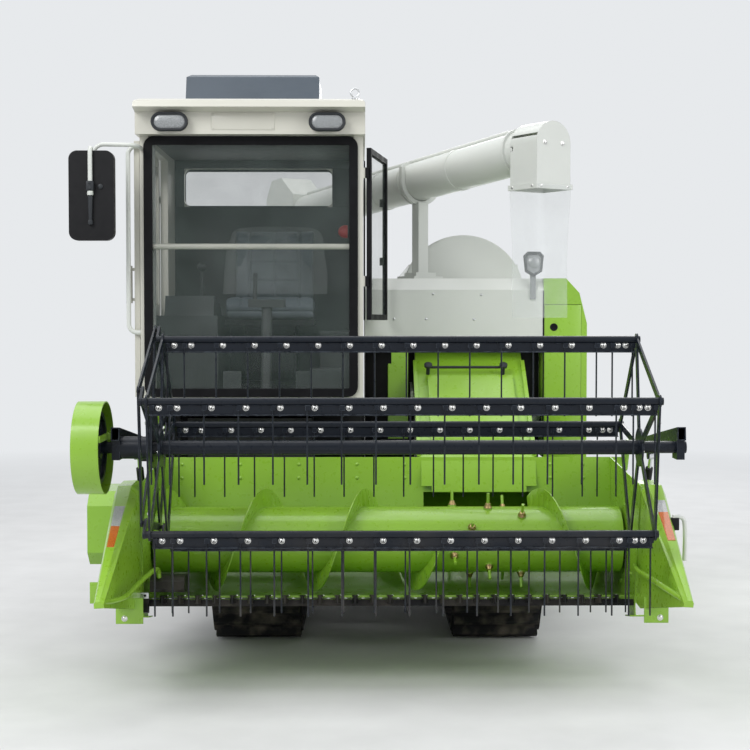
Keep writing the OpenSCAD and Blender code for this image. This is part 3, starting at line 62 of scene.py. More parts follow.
def y_at(y):
    """A distance back from the reel axis, in this frame."""
    return at(0, y, 0).y


# ---------------------------------------------------------------- materials


class Material:
    """A node tree round one Principled shader, with short calls for what it is fed from."""

    def __init__(self, name):
        self.material = bpy.data.materials.new(name)
        self.material.use_nodes = True
        self.tree = self.material.node_tree
        self.tree.nodes.clear()
        self.out = self.node("OutputMaterial")
        self.shader = self.node("BsdfPrincipled")
        self.link(self.shader.outputs[0], self.out.inputs[0])
        self.coords = self.node("TexCoord").outputs["Object"]

    def node(self, kind, **values):
        n = self.tree.nodes.new("ShaderNode" + kind)
        for key, value in values.items():
            setattr(n, key, value)
        return n

    def link(self, a, b):
        self.tree.links.new(a, b)

    def noise(self, scale, detail=4.0, stretch=None):
        n = self.node("TexNoise")
        n.inputs["Scale"].default_value = scale
        n.inputs["Detail"].default_value = detail
        source = self.coords
        if stretch:
            m = self.node("Mapping")
            m.inputs["Scale"].default_value = stretch
            self.link(self.coords, m.inputs["Vector"])
            source = m.outputs[0]
        self.link(source, n.inputs["Vector"])
        return n.outputs[0]

    def cells(self, scale):
        """Distance from the middle of the nearest grain or prism."""
        n = self.node("TexVoronoi")
        n.inputs["Scale"].default_value = scale
        self.link(self.coords, n.inputs["Vector"])
        return n.outputs["Distance"]

    def remap(self, source, low, high, to_low=0.0, to_high=1.0):
        n = self.node("MapRange")
        self.link(source, n.inputs[0])
        for i, v in enumerate((low, high, to_low, to_high)):
            n.inputs[i + 1].default_value = v
        return n.outputs[0]

    def times(self, a, b):
        n = self.node("Math", operation="MULTIPLY")
        self.link(a, n.inputs[0])
        if isinstance(b, float):
            n.inputs[1].default_value = b
        else:
            self.link(b, n.inputs[1])
        return n.outputs[0]

    def mix(self, factor, a, b):
        n = self.node("Mix", data_type="RGBA")
        self.link(factor, n.inputs[0])
        for socket, v in ((n.inputs[6], a), (n.inputs[7], b)):
            if isinstance(v, tuple):
                socket.default_value = (*v, 1)
            else:
                self.link(v, socket)
        return n.outputs[2]

    def set(self, **values):
        for key, v in values.items():
            self.shader.inputs[key.replace("_", " ")].default_value = v

    def feed(self, name, source):
        self.link(source, self.shader.inputs[name])

    def edges(self, radius):
        """Rounded normals at hard edges, and a mask that is 1 along them."""
        bevel = self.node("Bevel", samples=4)
        bevel.inputs["Radius"].default_value = radius
        geometry = self.node("NewGeometry")
        dot = self.node("VectorMath", operation="DOT_PRODUCT")
        self.link(bevel.outputs[0], dot.inputs[0])
        self.link(geometry.outputs["Normal"], dot.inputs[1])
        return bevel.outputs[0], self.remap(dot.outputs["Value"], 0.995, 0.86)

    def near_ground(self, top, bottom, patches):
        """A mask that grows from 0 at the top height to 1 at the bottom one, broken up by patches."""
        geometry = self.node("NewGeometry")
        apart = self.node("SeparateXYZ")
        self.link(geometry.outputs["Position"], apart.inputs[0])
        return self.times(self.remap(apart.outputs["Z"], top, bottom), patches)

    def bump(self, height, distance, normal=None):
        n = self.node("Bump")
        n.inputs["Distance"].default_value = distance
        self.link(height, n.inputs["Height"])
        if normal:
            self.link(normal, n.inputs["Normal"])
        self.feed("Normal", n.outputs[0])


def scaled(colour, k):
    return tuple(min(1.0, c * k) for c in colour)


DUST = (0.30, 0.26, 0.20)
PAINT_EDGE, RUBBER_EDGE, METAL_EDGE = 0.003, 0.004, 0.0015


def painted(name, colour, rough, vary=0.10, wear=0.25, wear_colour=None, dust=0.35, peel=0.00006, coat=0.0,
            shine=0.5):
    """Paint or moulded plastic: a little cloudy, worn along its edges, dusty near the ground."""
    m = Material(name)
    clouds = m.noise(2.2)
    fine = m.noise(38.0, 6.0)
    tone = m.mix(m.remap(clouds, 0.35, 0.65), scaled(colour, 1 - vary), scaled(colour, 1 + vary))
    normal, mask = m.edges(PAINT_EDGE)
    worn = m.times(m.times(mask, m.remap(fine, 0.42, 0.62)), wear)
    tone = m.mix(worn, tone, wear_colour or tuple(0.55 * c + 0.22 for c in colour))
    low = m.near_ground(0.9, 0.05, m.remap(m.noise(7.0, 6.0), 0.40, 0.75))
    m.feed("Base Color", m.mix(m.times(low, dust), tone, DUST))
    m.feed("Roughness", m.remap(fine, 0.3, 0.7, max(0.03, rough - 0.06), min(1.0, rough + 0.10)))
    m.set(Coat_Weight=coat, Coat_Roughness=0.12, Specular_IOR_Level=shine)
    m.bump(m.noise(160.0, 2.0), peel, normal)
    return m.material


def rubber(name, colour, rough=0.75, shine=0.2):
    """Streaky rubber, paler along its edges and dusty near the ground."""
    m = Material(name)
    streaks = m.noise(14.0, 8.0)
    normal, mask = m.edges(RUBBER_EDGE)
    tone = m.mix(m.remap(streaks, 0.45, 0.75), colour, scaled(colour, 1.9))
    tone = m.mix(m.times(mask, 0.30), tone, tuple(c + 0.05 for c in colour))
    low = m.near_ground(0.7, 0.0, m.remap(m.noise(11.0, 8.0), 0.45, 0.72))
    m.feed("Base Color", m.mix(m.times(low, 0.45), tone, DUST))
    m.feed("Roughness", m.remap(streaks, 0.3, 0.7, rough - 0.1, rough + 0.12))
    m.set(Specular_IOR_Level=shine)
    m.bump(m.noise(220.0, 6.0), 0.0004, normal)
    return m.material


def metal(name, colour, rough, stretch=(1, 1, 12), wear=0.3):
    """Bare or plated metal, brushed along the stretched direction."""
    m = Material(name)
    brushed = m.noise(60.0, 5.0, stretch)
    normal, mask = m.edges(METAL_EDGE)
    tone = m.mix(m.remap(brushed, 0.3, 0.7), scaled(colour, 0.82), scaled(colour, 1.12))
    m.feed("Base Color", m.mix(m.times(mask, wear), tone, (0.85, 0.85, 0.84)))
    m.feed("Roughness", m.remap(brushed, 0.3, 0.7, rough - 0.08, rough + 0.12))
    m.set(Metallic=1.0)
    m.bump(brushed, 0.0001, normal)
    return m.material


def clear(name, colour, alpha, rough, ripple=0.0, scale=6.0):
    """Glass or clear film: the shader's own alpha lets the inside show."""
    m = Material(name)
    smears = m.noise(scale, 5.0)
    m.feed("Base Color", m.mix(m.remap(smears, 0.4, 0.7), colour, scaled(colour, 1.25)))
    m.feed("Alpha", m.remap(smears, 0.35, 0.75, alpha * 0.85, min(1.0, alpha * 1.2)))
    m.feed("Roughness", m.remap(smears, 0.35, 0.75, rough, rough + 0.06))
    m.set(IOR=1.5)
    if ripple:
        m.bump(m.noise(scale * 3, 3.0), ripple)
    return m.material


def leather(name, colour):
    """Grained seat cover with a faint crease pattern."""
    m = Material(name)
    clouds = m.noise(9.0, 5.0)
    m.feed("Base Color", m.mix(m.remap(clouds, 0.35, 0.7), scaled(colour, 0.85), scaled(colour, 1.4)))
    m.feed("Roughness", m.remap(clouds, 0.3, 0.7, 0.42, 0.58))
    m.bump(m.cells(420.0), 0.0005)
    return m.material


def reflector(name, colour, rough=0.12):
    """Reflector plastic: small prisms under a glossy face."""
    m = Material(name)
    prisms = m.cells(260.0)
    m.feed("Base Color", m.mix(m.remap(prisms, 0.0, 0.6), colour, scaled(colour, 0.55)))
    m.feed("Roughness", m.remap(m.noise(30.0), 0.3, 0.7, rough, rough + 0.08))
    m.set(Coat_Weight=0.8, Coat_Roughness=0.05)
    m.bump(prisms, 0.0006)
    return m.material


GREEN = (0.250, 0.470, 0.030)
WHITE = (0.62, 0.64, 0.60)
CAB_WHITE = (0.60, 0.59, 0.52)
SLATE = (0.006, 0.009, 0.015)
BLACK = (0.006, 0.006, 0.007)

MATS = {
    "green": painted("green_paint", GREEN, 0.30, vary=0.06, dust=0.15, coat=0.35),
    "white": painted("panel_paint", WHITE, 0.34, vary=0.03, wear_colour=(0.42, 0.42, 0.40), coat=0.3),
    "cab": painted("cab_paint", CAB_WHITE, 0.34, vary=0.03, wear_colour=(0.42, 0.41, 0.36), coat=0.3),
    "slate": painted("slate_paint", SLATE, 0.30, vary=0.12, wear=0.5, wear_colour=(0.22, 0.26, 0.31), coat=0.10,
                     shine=0.22),
    "black": painted("black_paint", BLACK, 0.40, wear=0.35, wear_colour=(0.12, 0.12, 0.12), shine=0.22),
    "cast": painted("cast_iron", (0.045, 0.045, 0.048), 0.55, wear=0.3, wear_colour=(0.2, 0.2, 0.2), peel=0.0003),
    "plastic": painted("grey_plastic", (0.024, 0.027, 0.031), 0.48, wear=0.15, wear_colour=(0.14, 0.15, 0.16),
                       peel=0.00025, shine=0.3),
    "dash": painted("dash_plastic", (0.040, 0.046, 0.046), 0.55, wear=0.15, peel=0.0003),
    "ac": painted("unit_plastic", (0.060, 0.078, 0.100), 0.40, wear=0.12, peel=0.0002),
    "rubber": rubber("track_rubber", (0.009, 0.009, 0.010)),
    "seal": rubber("seal_rubber", (0.005, 0.005, 0.006), 0.55, 0.12),
    "steel": metal("bare_steel", (0.56, 0.57, 0.58), 0.28),
    "zinc": metal("plated_steel", (0.70, 0.70, 0.68), 0.26, (1, 1, 1)),
    "brass": metal("finger_guide", (0.42, 0.30, 0.14), 0.34, (1, 1, 1)),
    "chrome": metal("chromed_rod", (0.72, 0.73, 0.75), 0.14, (12, 12, 1), 0.0),
    "glass": clear("window_glass", (0.10, 0.13, 0.12), 0.14, 0.03),
    "film": clear("clear_film", (0.66, 0.70, 0.70), 0.15, 0.14, 0.0012, 9.0),
    "leather": leather("seat_leather", (0.095, 0.115, 0.130)),
    "post": painted("post_paint", (0.34, 0.36, 0.34), 0.40, wear=0.2),
    "red": painted("red_plastic", (0.45, 0.03, 0.03), 0.40, wear=0.15),
    "lens": reflector("lamp_lens", (0.40, 0.42, 0.43)),
    "orange": reflector("orange_reflector", (0.85, 0.20, 0.02)),
    "silver": reflector("silver_reflector", (0.62, 0.64, 0.64)),
}

# Material of each CAD node that shows
NODE_MATS = {
    "green": "radiator_door left_side_cover header_trough dividers feeder_house header_drive_cover header_ends "
             "header_auger reel_guard",
    "white": "thresher_body drum_hood straw_hood grain_tank unload_column boom_cradle unload_tube unload_spout "
             "cab_tubes",
    "cab": "cab_shell cab_roof cab_door",
    "slate": "reel_arms reel_pulley reel_frame reel_cam reel_bat_1 reel_bat_2 reel_bat_3 reel_bat_4 reel_bat_5",
    "black": "chassis_frame track_frames steps seat_base knife_guards header_barrel reel_barrels cab_mirror",
    "cast": "road_wheels drive_sprockets gearbox engine boom_barrel",
    "rubber": "track_left track_right",
    "seal": "side_window",
    "steel": "knife reel_lift_pins",
    "chrome": "boom_rod header_rod reel_rods",
    "glass": "cab_glass door_glass side_window_glass",
    "lens": "work_lamps",
    "dash": "cab_controls",
    "ac": "ac_unit",
}
for key, nodes in NODE_MATS.items():
    for node in nodes.split():
        mesh = frame["nodes"][node].data
        if not mesh.materials:
            mesh.materials.append(MATS[key])
        for i in range(len(mesh.materials)):
            mesh.materials[i] = MATS[key]

# ------------------------------------------------------------------- pieces


def turns(n):
    """Angles of n even steps round a circle."""
    return [2 * math.pi * k / n for k in range(n)]


def basis(axis):
    """Two directions square to an axis."""
    axis = Vector(axis).normalized()
    side = Vector((0, 0, 1)) if abs(axis.z) < 0.9 else Vector((1, 0, 0))
    u = axis.cross(side).normalized()
    return u, axis.cross(u).normalized()


class Piece:
    """Mesh of many small shapes that share a material and ride on one body."""

    def __init__(self):
        self.bm = bmesh.new()

    def rings(self, rings, ends="capped"):
        """Skin over rings of points with equal counts, its ends capped, open or joined."""
        rows = [[self.bm.verts.new(p) for p in ring] for ring in rings]
        n = len(rows[0])
        for a, b in zip(rows, rows[1:] + (rows[:1] if ends == "joined" else [])):
            for i in range(n):
                j = (i + 1) % n
                self.bm.faces.new((a[i], a[j], b[j], b[i]))
        if ends == "capped":
            self.bm.faces.new(rows[0][::-1])
            self.bm.faces.new(rows[-1])
        return self

    def turned(self, origin, axis, profile, n=20):
        """Turned shape: profile holds pairs of distance along the axis and radius."""
        origin, axis = Vector(origin), Vector(axis).normalized()
        u, v = basis(axis)
        return self.rings([[origin + axis * h + (u * math.cos(a) + v * math.sin(a)) * max(r, 1e-5) for a in turns(n)]
                           for h, r in profile])

    def bolt(self, origin, axis, r):
        """Hexagon head on a washer, with a small dome of thread end."""
        axis = Vector(axis).normalized()
        self.turned(origin, axis, [(-0.001, r * 1.25), (r * 0.16, r * 1.25), (r * 0.20, r * 1.18)], 24)
        return self.turned(Vector(origin) + axis * r * 0.18, axis,
                           [(0, r * 0.88), (r * 0.52, r * 0.88), (r * 0.62, r * 0.72), (r * 0.64, 0.0)], 6)

    def dome(self, origin, axis, r, height=0.5):
        """Round head on a washer."""
        steps = [(r * height * math.sin(t), r * math.cos(t)) for t in (0, 0.35, 0.7, 1.05, 1.35, 1.55)]
        self.turned(origin, axis, [(-0.001, r * 1.3), (r * 0.12, r * 1.3), (r * 0.16, r * 1.22)], 24)
        return self.turned(Vector(origin) + Vector(axis).normalized() * r * 0.14, axis, steps, 20)

    def block(self, low, high, bevel=0.002):
        """Box between two opposite corners, its edges rounded."""
        low, high = Vector(low), Vector(high)
        made = bmesh.ops.create_cube(self.bm, size=1.0)["verts"]
        bmesh.ops.transform(self.bm, matrix=Matrix.LocRotScale((low + high) / 2, None, high - low), verts=made)
        edges = list(dict.fromkeys(e for v in made for e in v.link_edges))
        bmesh.ops.bevel(self.bm, geom=edges, offset=bevel, segments=2, affect="EDGES", profile=0.5)
        return self

    def plate(self, outline, normal, thickness):
        """Flat plate: its outline's points in space, and its thickness along the normal."""
        step = Vector(normal).normalized() * thickness
        points = [Vector(p) for p in outline]
        return self.rings([points, [p + step for p in points]])

    def tube(self, points, r, n=12, steps=8):
        """Smooth tube through points."""
        pts = [Vector(p) for p in points]
        ends = [pts[0] * 2 - pts[1], *pts, pts[-1] * 2 - pts[-2]]
        path = []
        for a, b, c, d in zip(ends, ends[1:], ends[2:], ends[3:]):
            for k in range(steps):
                t = k / steps
                path.append(0.5 * (2 * b + (c - a) * t + (2 * a - 5 * b + 4 * c - d) * t * t
                                   + (3 * b - a - 3 * c + d) * t ** 3))
        path.append(pts[-1])
        rings, u = [], basis(path[1] - path[0])[0]
        for i, p in enumerate(path):
            d = (path[min(i + 1, len(path) - 1)] - path[max(i - 1, 0)]).normalized()
            u = (u - d * u.dot(d)).normalized()
            v = d.cross(u)
            rings.append([p + (u * math.cos(a) + v * math.sin(a)) * r for a in turns(n)])
        return self.rings(rings)

    def border(self, low, high, radius, width, depth, axis="y"):
        """Rounded rectangular seal between two opposite corners of a plane square to an axis."""
        def outline(grow):
            r = max(radius + grow, 0.001)
            pts = []
            for cx, cz, start in ((high[0] - radius, high[1] - radius, 0), (low[0] + radius, high[1] - radius, 90),
                                  (low[0] + radius, low[1] + radius, 180), (high[0] - radius, low[1] + radius, 270)):
                for k in range(7):
                    a = math.radians(start + 15 * k)
                    pts.append((cx + r * math.cos(a), cz + r * math.sin(a)))
            return pts
        place = {"y": lambda p, d: Vector((p[0], d, p[1])), "x": lambda p, d: Vector((d, p[0], p[1]))}[axis]
        lip = math.copysign(0.002, depth[1] - depth[0])
        section = [(0, depth[0]), (0, depth[1] - lip), (-0.002, depth[1]), (-width + 0.002, depth[1]),
                   (-width, depth[1] - lip), (-width, depth[0])]
        return self.rings([[place(p, d) for p in outline(g)] for g, d in section], ends="joined")

    def to_object(self, name):
        mesh = bpy.data.meshes.new(name)
        bmesh.ops.recalc_face_normals(self.bm, faces=self.bm.faces)
        self.bm.to_mesh(mesh)
        self.bm.free()
        obj = bpy.data.objects.new(name, mesh)
        bpy.context.scene.collection.objects.link(obj)
        return obj

    def done(self, name, mat, body, slot, angle=35.0):
        """Finish the mesh, sharp where its faces turn by more than the angle, and let it ride on the body."""
        obj = self.to_object(name)
        for p in obj.data.polygons:
            p.use_smooth = True
        obj.data.set_sharp_from_angle(angle=math.radians(angle))
        obj.data.materials.append(MATS[mat])
        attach(obj, body)
        return obj


FRONT, BACK, UP = Vector((0, -1, 0)), Vector((0, 1, 0)), Vector((0, 0, 1))
RIGHT, LEFT = Vector((-1, 0, 0)), Vector((1, 0, 0))

# The folded unloading tube's heading, seen from above, and the direction square to it
YAW = math.radians(33)
ALONG = Vector((math.sin(YAW), -math.cos(YAW), 0))
ASIDE = Vector((math.cos(YAW), math.sin(YAW), 0))

# ------------------------------------------------------------- camera, light

# The photograph's camera: f = 1450 pixels on the 750-pixel frame, solved from the pitch of the knife's guards
camera = bpy.data.objects.new("camera", bpy.data.cameras.new("camera"))
bpy.context.scene.collection.objects.link(camera)
camera.data.sensor_width = 36.0
camera.data.lens = 69.6
camera.location = (-0.005, -7.959, 1.608)
PITCH, HEADING = -2.09, -0.59
camera.rotation_euler = (math.radians(90 + PITCH), 0, math.radians(HEADING))
camera.data.clip_end = 200
bpy.context.scene.camera = camera
bpy.context.scene.view_settings.view_transform = "Standard"


def lamp(name, place, target, size, watts):
    """Soft rectangular lamp that faces its target."""
    data = bpy.data.lights.new(name, "AREA")
    data.shape = "RECTANGLE"
    data.size, data.size_y = size
    data.energy = watts
    obj = bpy.data.objects.new(name, data)
    bpy.context.scene.collection.objects.link(obj)
    obj.location = place
    obj.rotation_euler = (Vector(target) - Vector(place)).to_track_quat("-Z", "Y").to_euler()


def seen_ray(tree):
    """1 for the rays that show the background: from the camera, off gloss and through glass."""
    rays = tree.nodes.new("ShaderNodeLightPath")
    value = rays.outputs["Is Camera Ray"]
    for name in ("Is Glossy Ray", "Is Transmission Ray"):
        either = tree.nodes.new("ShaderNodeMath")
        either.operation = "MAXIMUM"
        tree.links.new(value, either.inputs[0])
        tree.links.new(rays.outputs[name], either.inputs[1])
        value = either.outputs[0]
    return value


lamp("key", (-4.5, -6.5, 6.5), (0, -0.5, 1.0), (4.0, 4.0), 400)
lamp("fill", (6.0, -5.0, 4.0), (0, 0, 1.2), (4.0, 4.0), 190)
lamp("top", (0, 0.5, 7.5), (0, 0, 0), (6.0, 7.0), 230)
lamp("rear", (2.0, 8.0, 5.0), (0, 0, 1.2), (4.0, 3.0), 180)

AMBIENT, AMBIENT_STRENGTH = (0.93, 0.96, 1.0, 1), 0.55
BACKDROP = (0.80, 0.82, 0.84, 1)
world = bpy.data.worlds.new("studio")
bpy.context.scene.world = world
world.use_nodes = True
tree = world.node_tree
tree.nodes.clear()
out = tree.nodes.new("ShaderNodeOutputWorld")
mix = tree.nodes.new("ShaderNodeMixShader")
tree.links.new(seen_ray(tree), mix.inputs[0])
for i, (colour, strength) in enumerate(((AMBIENT, AMBIENT_STRENGTH), (BACKDROP, 1.0))):
    light = tree.nodes.new("ShaderNodeBackground")
    light.inputs[0].default_value = colour
    light.inputs[1].default_value = strength
    tree.links.new(light.outputs[0], mix.inputs[i + 1])
tree.links.new(mix.outputs[0], out.inputs[0])

floor_mat = Material("floor")
floor_mat.feed("Base Color", floor_mat.mix(floor_mat.remap(floor_mat.noise(3.0, 8.0), 0.3, 0.7),
                                           (0.68, 0.68, 0.675), (0.74, 0.74, 0.735)))
floor_mat.set(Roughness=0.85)
# Far from the machine the floor takes the backdrop's own colour, so that no horizon shows
FADE_FROM, FADE_TO, FLOOR_HALF = 4.5, 11.0, 40
far = floor_mat.node("VectorMath", operation="LENGTH")
floor_mat.link(floor_mat.coords, far.inputs[0])
fade = floor_mat.times(floor_mat.remap(far.outputs["Value"], FADE_FROM, FADE_TO), seen_ray(floor_mat.tree))
backdrop = floor_mat.node("Emission")
backdrop.inputs[0].default_value = BACKDROP
blend = floor_mat.node("MixShader")
for i, source in enumerate((fade, floor_mat.shader.outputs[0], backdrop.outputs[0])):
    floor_mat.link(source, blend.inputs[i])
floor_mat.link(blend.outputs[0], floor_mat.out.inputs[0])
floor_mesh = bpy.data.meshes.new("floor")
floor_mesh.from_pydata([(x * FLOOR_HALF, y * FLOOR_HALF, 0) for x, y in ((-1, -1), (1, -1), (1, 1), (-1, 1))], [],
                       [(0, 1, 2, 3)])
floor_mesh.materials.append(floor_mat.material)
floor = bpy.data.objects.new("floor", floor_mesh)
bpy.context.scene.collection.objects.link(floor)

# ------------------------------------------------------------------ the reel

BAT_COUNT = 5
TINE_X0, TINE_PITCH, TINE_COUNT = -0.816, 0.132, 14
BOLT_OFFSET, HEAD_R, SOCKET_R, NUT_R = 0.029, 0.0098, 0.0034, 0.007
bolt_xs = [-0.857, *(TINE_X0 + BOLT_OFFSET + TINE_PITCH * k for k in range(TINE_COUNT)), 0.989, 1.022]
for i in range(1, BAT_COUNT + 1):
    bat = f"reel_bat_{i}"
    pivot = Vector(JOINTS[f"{bat}_turn"]["pos_m"])
    heads, nuts, socket_shades = Piece(), Piece(), Piece()
    for x in bolt_xs:
        heads.dome((x + MID_X, pivot.y - 0.002, pivot.z - 0.024), FRONT, HEAD_R, 0.55)
        # Black hexagon on each head: painted shade of the socket's hollow
        socket_shades.turned((x + MID_X, pivot.y - 0.0075, pivot.z - 0.026), FRONT,
                       [(0, SOCKET_R), (0.0022, SOCKET_R), (0.0026, 0.0)], 6)
        nuts.bolt((x + MID_X, pivot.y + 0.002, pivot.z - 0.024), BACK, NUT_R)
    heads.done(f"bat_{i}_heads", "zinc", bat, "bare_steel")
    nuts.done(f"bat_{i}_nuts", "zinc", bat, "bare_steel")
    socket_shades.done(f"bat_{i}_sockets", "black", bat, "bare_steel")

# --------------------------------------------------------------- soft sleeve


def squared(v, power):
    """Sine or cosine pushed out towards a rounded square."""
    return math.copysign(abs(v) ** power, v)


def film_sleeve():
    """Tube of clear sheet round the spout's flange, hanging free with shallow folds."""
    low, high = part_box("unload_sleeve")
    middle = (low + high) / 2
    half_l, half_w, taper = 0.1105, 0.1155, 0.07
    fold_count, fold_depth, crease_depth = 7, 0.040, 0.035
    bottom, top = low.z + 0.004, high.z - 0.002
    around, rows = 96, 40
    rings = []
    for r in range(rows + 1):
        t = r / rows
        z = top + (bottom - top) * t
        hang = min(1.0, t * 2.2)
        ring = []
        for a in turns(around):
            c, s = math.cos(a), math.sin(a)
            power = 0.16 + 0.10 * hang
            x = squared(c, power) * half_l * (1 - taper * hang)
            y = squared(s, power) * half_w * (1 - taper * hang)
            wave = math.sin(fold_count * a + 1.7 * math.sin(2 * a) + 1.2 * t)
            fold = 1 - fold_depth * hang * (0.5 + 0.5 * wave)
            fold -= crease_depth * hang * noise.noise(Vector((2.2 * c, 2.2 * s, 1.4 * t)))
            x, y = x * min(fold, 1.0), y * min(fold, 1.0)
            ring.append(Vector((middle.x, middle.y, z)) + ASIDE * x - ALONG * y)
        rings.append(ring)
    obj = Piece().rings(rings, ends="open").done("film_sleeve", "film", "unload_boom", "clear_film", 180)
    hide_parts("unload_sleeve")


film_sleeve()

# --------------------------------------------------------------- the cab


def oval(centre, y, grow):
    """Ring of points of a roof lamp's flat oval, square to Y."""
    w, h = LAMP_SIZE[0] / 2 + grow, LAMP_SIZE[1] / 2 + grow
    return [Vector((centre.x + (w - h) * (1 if math.cos(a) > 0 else -1) + h * math.cos(a), y,
                    centre.z + h * math.sin(a))) for a in turns(40)]


shell_low, shell_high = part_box("cab_shell")
glass_low, glass_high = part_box("cab_glass")
door_low, door_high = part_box("cab_door")
seals = Piece()
seals.border((-1.123 + MID_X, glass_low.z), (-0.095 + MID_X, glass_high.z), 0.05, 0.042,
             (glass_low.y + 0.001, glass_low.y - 0.007))
seals.border((-1.073 + MID_X, 2.224), (-0.213 + MID_X, 2.463), 0.05, 0.026,
             (glass_high.y - 0.001, glass_high.y + 0.007))
seals.border((y_at(1.582), glass_low.z + 0.372), (y_at(2.025), 2.446), 0.03, 0.024,
             (glass_high.x - 0.001, glass_high.x + 0.006), "x")
seals.done("window_seals", "seal", "chassis", "black_rubber")
door_seal = Piece()
door_seal.border((y_at(1.128), 1.698), (y_at(1.732), 2.422), 0.03, 0.026,
                 (door_high.x - 0.0265, door_high.x - 0.033), "x")
door_seal.done("door_seal", "seal", "cab_door", "black_rubber")

# Roof lamps: each section is the oval's distance in front of the lamp's middle, and how far it stands out
LAMP_XS, LAMP_Y, LAMP_Z, LAMP_SIZE = (-0.985, -0.240), 0.930, 2.554, (0.160, 0.075)
BEZEL = ((-0.010, 0.008), (0.008, 0.007), (0.012, 0.002), (0.010, -0.004), (0.001, -0.007), (-0.010, 0.001))
LENS = ((-0.002, -0.006), (0.003, -0.006), (0.007, -0.014), (0.009, -0.024), (0.010, -0.034))
bezels, lenses = Piece(), Piece()
for x in LAMP_XS:
    c = at(x, LAMP_Y, LAMP_Z)
    bezels.rings([oval(c, c.y - d, g) for d, g in BEZEL], ends="joined")
    lenses.rings([oval(c, c.y - d, g) for d, g in LENS])
bezels.done("roof_lamp_bezels", "plastic", "chassis", "black_plastic")
lenses.done("roof_lamp_lenses", "lens", "chassis", "lamp_glass")

# Shield-shaped lamp: housing rim and round lens
SHIELD = ((-0.048, 0.040), (-0.030, 0.060), (0.030, 0.060), (0.048, 0.040), (0.040, -0.036), (0.0, -0.060),
          (-0.040, -0.036))
shield = at(0.815, 1.560, 1.908)


def shield_ring(k, y):
    """The shield's outline, scaled by k."""
    return [Vector((shield.x + px * k, shield.y + y, shield.z + pz * k)) for px, pz in SHIELD]


rim = Piece()
rim.rings([shield_ring(k, y) for k, y in ((1.08, 0.030), (1.08, -0.006), (1.02, -0.010), (0.84, -0.008),
                                          (0.80, 0.002), (0.98, 0.004))], ends="joined")
rim.done("shield_lamp_rim", "plastic", "chassis", "black_plastic", 50)
round_lens = Piece()
round_lens.turned(shield + Vector((0, 0.002, 0.008)), FRONT,
                  [(0, 0.030), (0.004, 0.030), (0.006, 0.026), (0.010, 0.018), (0.012, 0.008), (0.0125, 0.0)], 32)
round_lens.done("shield_lamp_lens", "lens", "chassis", "lamp_glass", 60)

# Round lamp in front of the thresher's throat, left of the feeder house
throat = at(0.815, 1.800, 1.118)
housing = Piece()
housing.turned(throat + Vector((0, -0.105, 0)), FRONT,
               [(-0.05, 0.020), (-0.045, 0.034), (-0.02, 0.052), (0.0, 0.058), (0.012, 0.060), (0.016, 0.056)], 36)
housing.block(throat + Vector((-0.015, -0.070, -0.012)), throat + Vector((0.015, 0.001, 0.012)))
housing.done("throat_lamp_housing", "plastic", "chassis", "black_plastic")
glass = Piece()
glass.turned(throat + Vector((0, -0.121, 0)), FRONT, [(-0.002, 0.053), (0.003, 0.050), (0.007, 0.036), (0.009, 0.0)],
             36)
glass.done("throat_lamp_lens", "lens", "chassis", "lamp_glass", 60)

# Bare plate under the visor, between the lamps
plate = Piece()
visor_y, PLATE_T, PLATE_SEAT = y_at(0.970), 0.003, 0.001
plate.block((-0.790 + MID_X, visor_y - PLATE_T, 2.520), (-0.490 + MID_X, visor_y + PLATE_SEAT, 2.600), 0.001)
for x in (-0.780, -0.500):
    for z in (2.528, 2.592):
        plate.dome((x + MID_X, visor_y - PLATE_T, z), FRONT, 0.003)
plate.done("visor_plate", "cab", "chassis", "white_paint")

# Mirror: its arm's end runs down in front of the housing, with a clamp and a rubber boot
mirror_low, mirror_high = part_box("cab_mirror")
arm_x, face_y, ARM_R, SLEEVE_Z = at(-1.337, 0, 0).x, mirror_low.y, 0.0105, 2.196
arm_y = face_y - 0.014
holder, clamp = Piece(), Piece()
holder.tube([(arm_x, face_y + 0.012, mirror_high.z + 0.006), (arm_x, face_y - 0.006, mirror_high.z + 0.010),
             (arm_x, arm_y, mirror_high.z - 0.015), (arm_x, arm_y, 2.300), (arm_x, arm_y, 2.215)], ARM_R, 16)
holder.turned((arm_x, arm_y, SLEEVE_Z), UP, [(0, 0.013), (0.002, 0.014), (0.020, 0.014), (0.022, 0.011)], 20)
holder.done("mirror_holder", "white", "chassis", "white_paint")
clamp.block((arm_x - 0.017, face_y - 0.030, 2.216), (arm_x + 0.017, face_y + 0.001, 2.262), 0.004)
clamp.turned((arm_x, face_y - 0.012, SLEEVE_Z), -UP, [(0, 0.012), (0.030, 0.011), (0.120, 0.008), (0.135, 0.004)],
             20)
clamp.block((arm_x - 0.010, face_y - 0.020, 2.060), (arm_x + 0.010, face_y + 0.001, 2.082), 0.003)
for z in (2.226, 2.252):
    clamp.bolt((arm_x, face_y - 0.030, z), FRONT, 0.0055)
clamp.turned((arm_x + 0.045, face_y + 0.001, 2.238), FRONT, [(0, 0.012), (0.006, 0.012), (0.010, 0.006), (0.010, 0.0)],
             20)
clamp.done("mirror_clamp", "plastic", "chassis", "black_plastic")

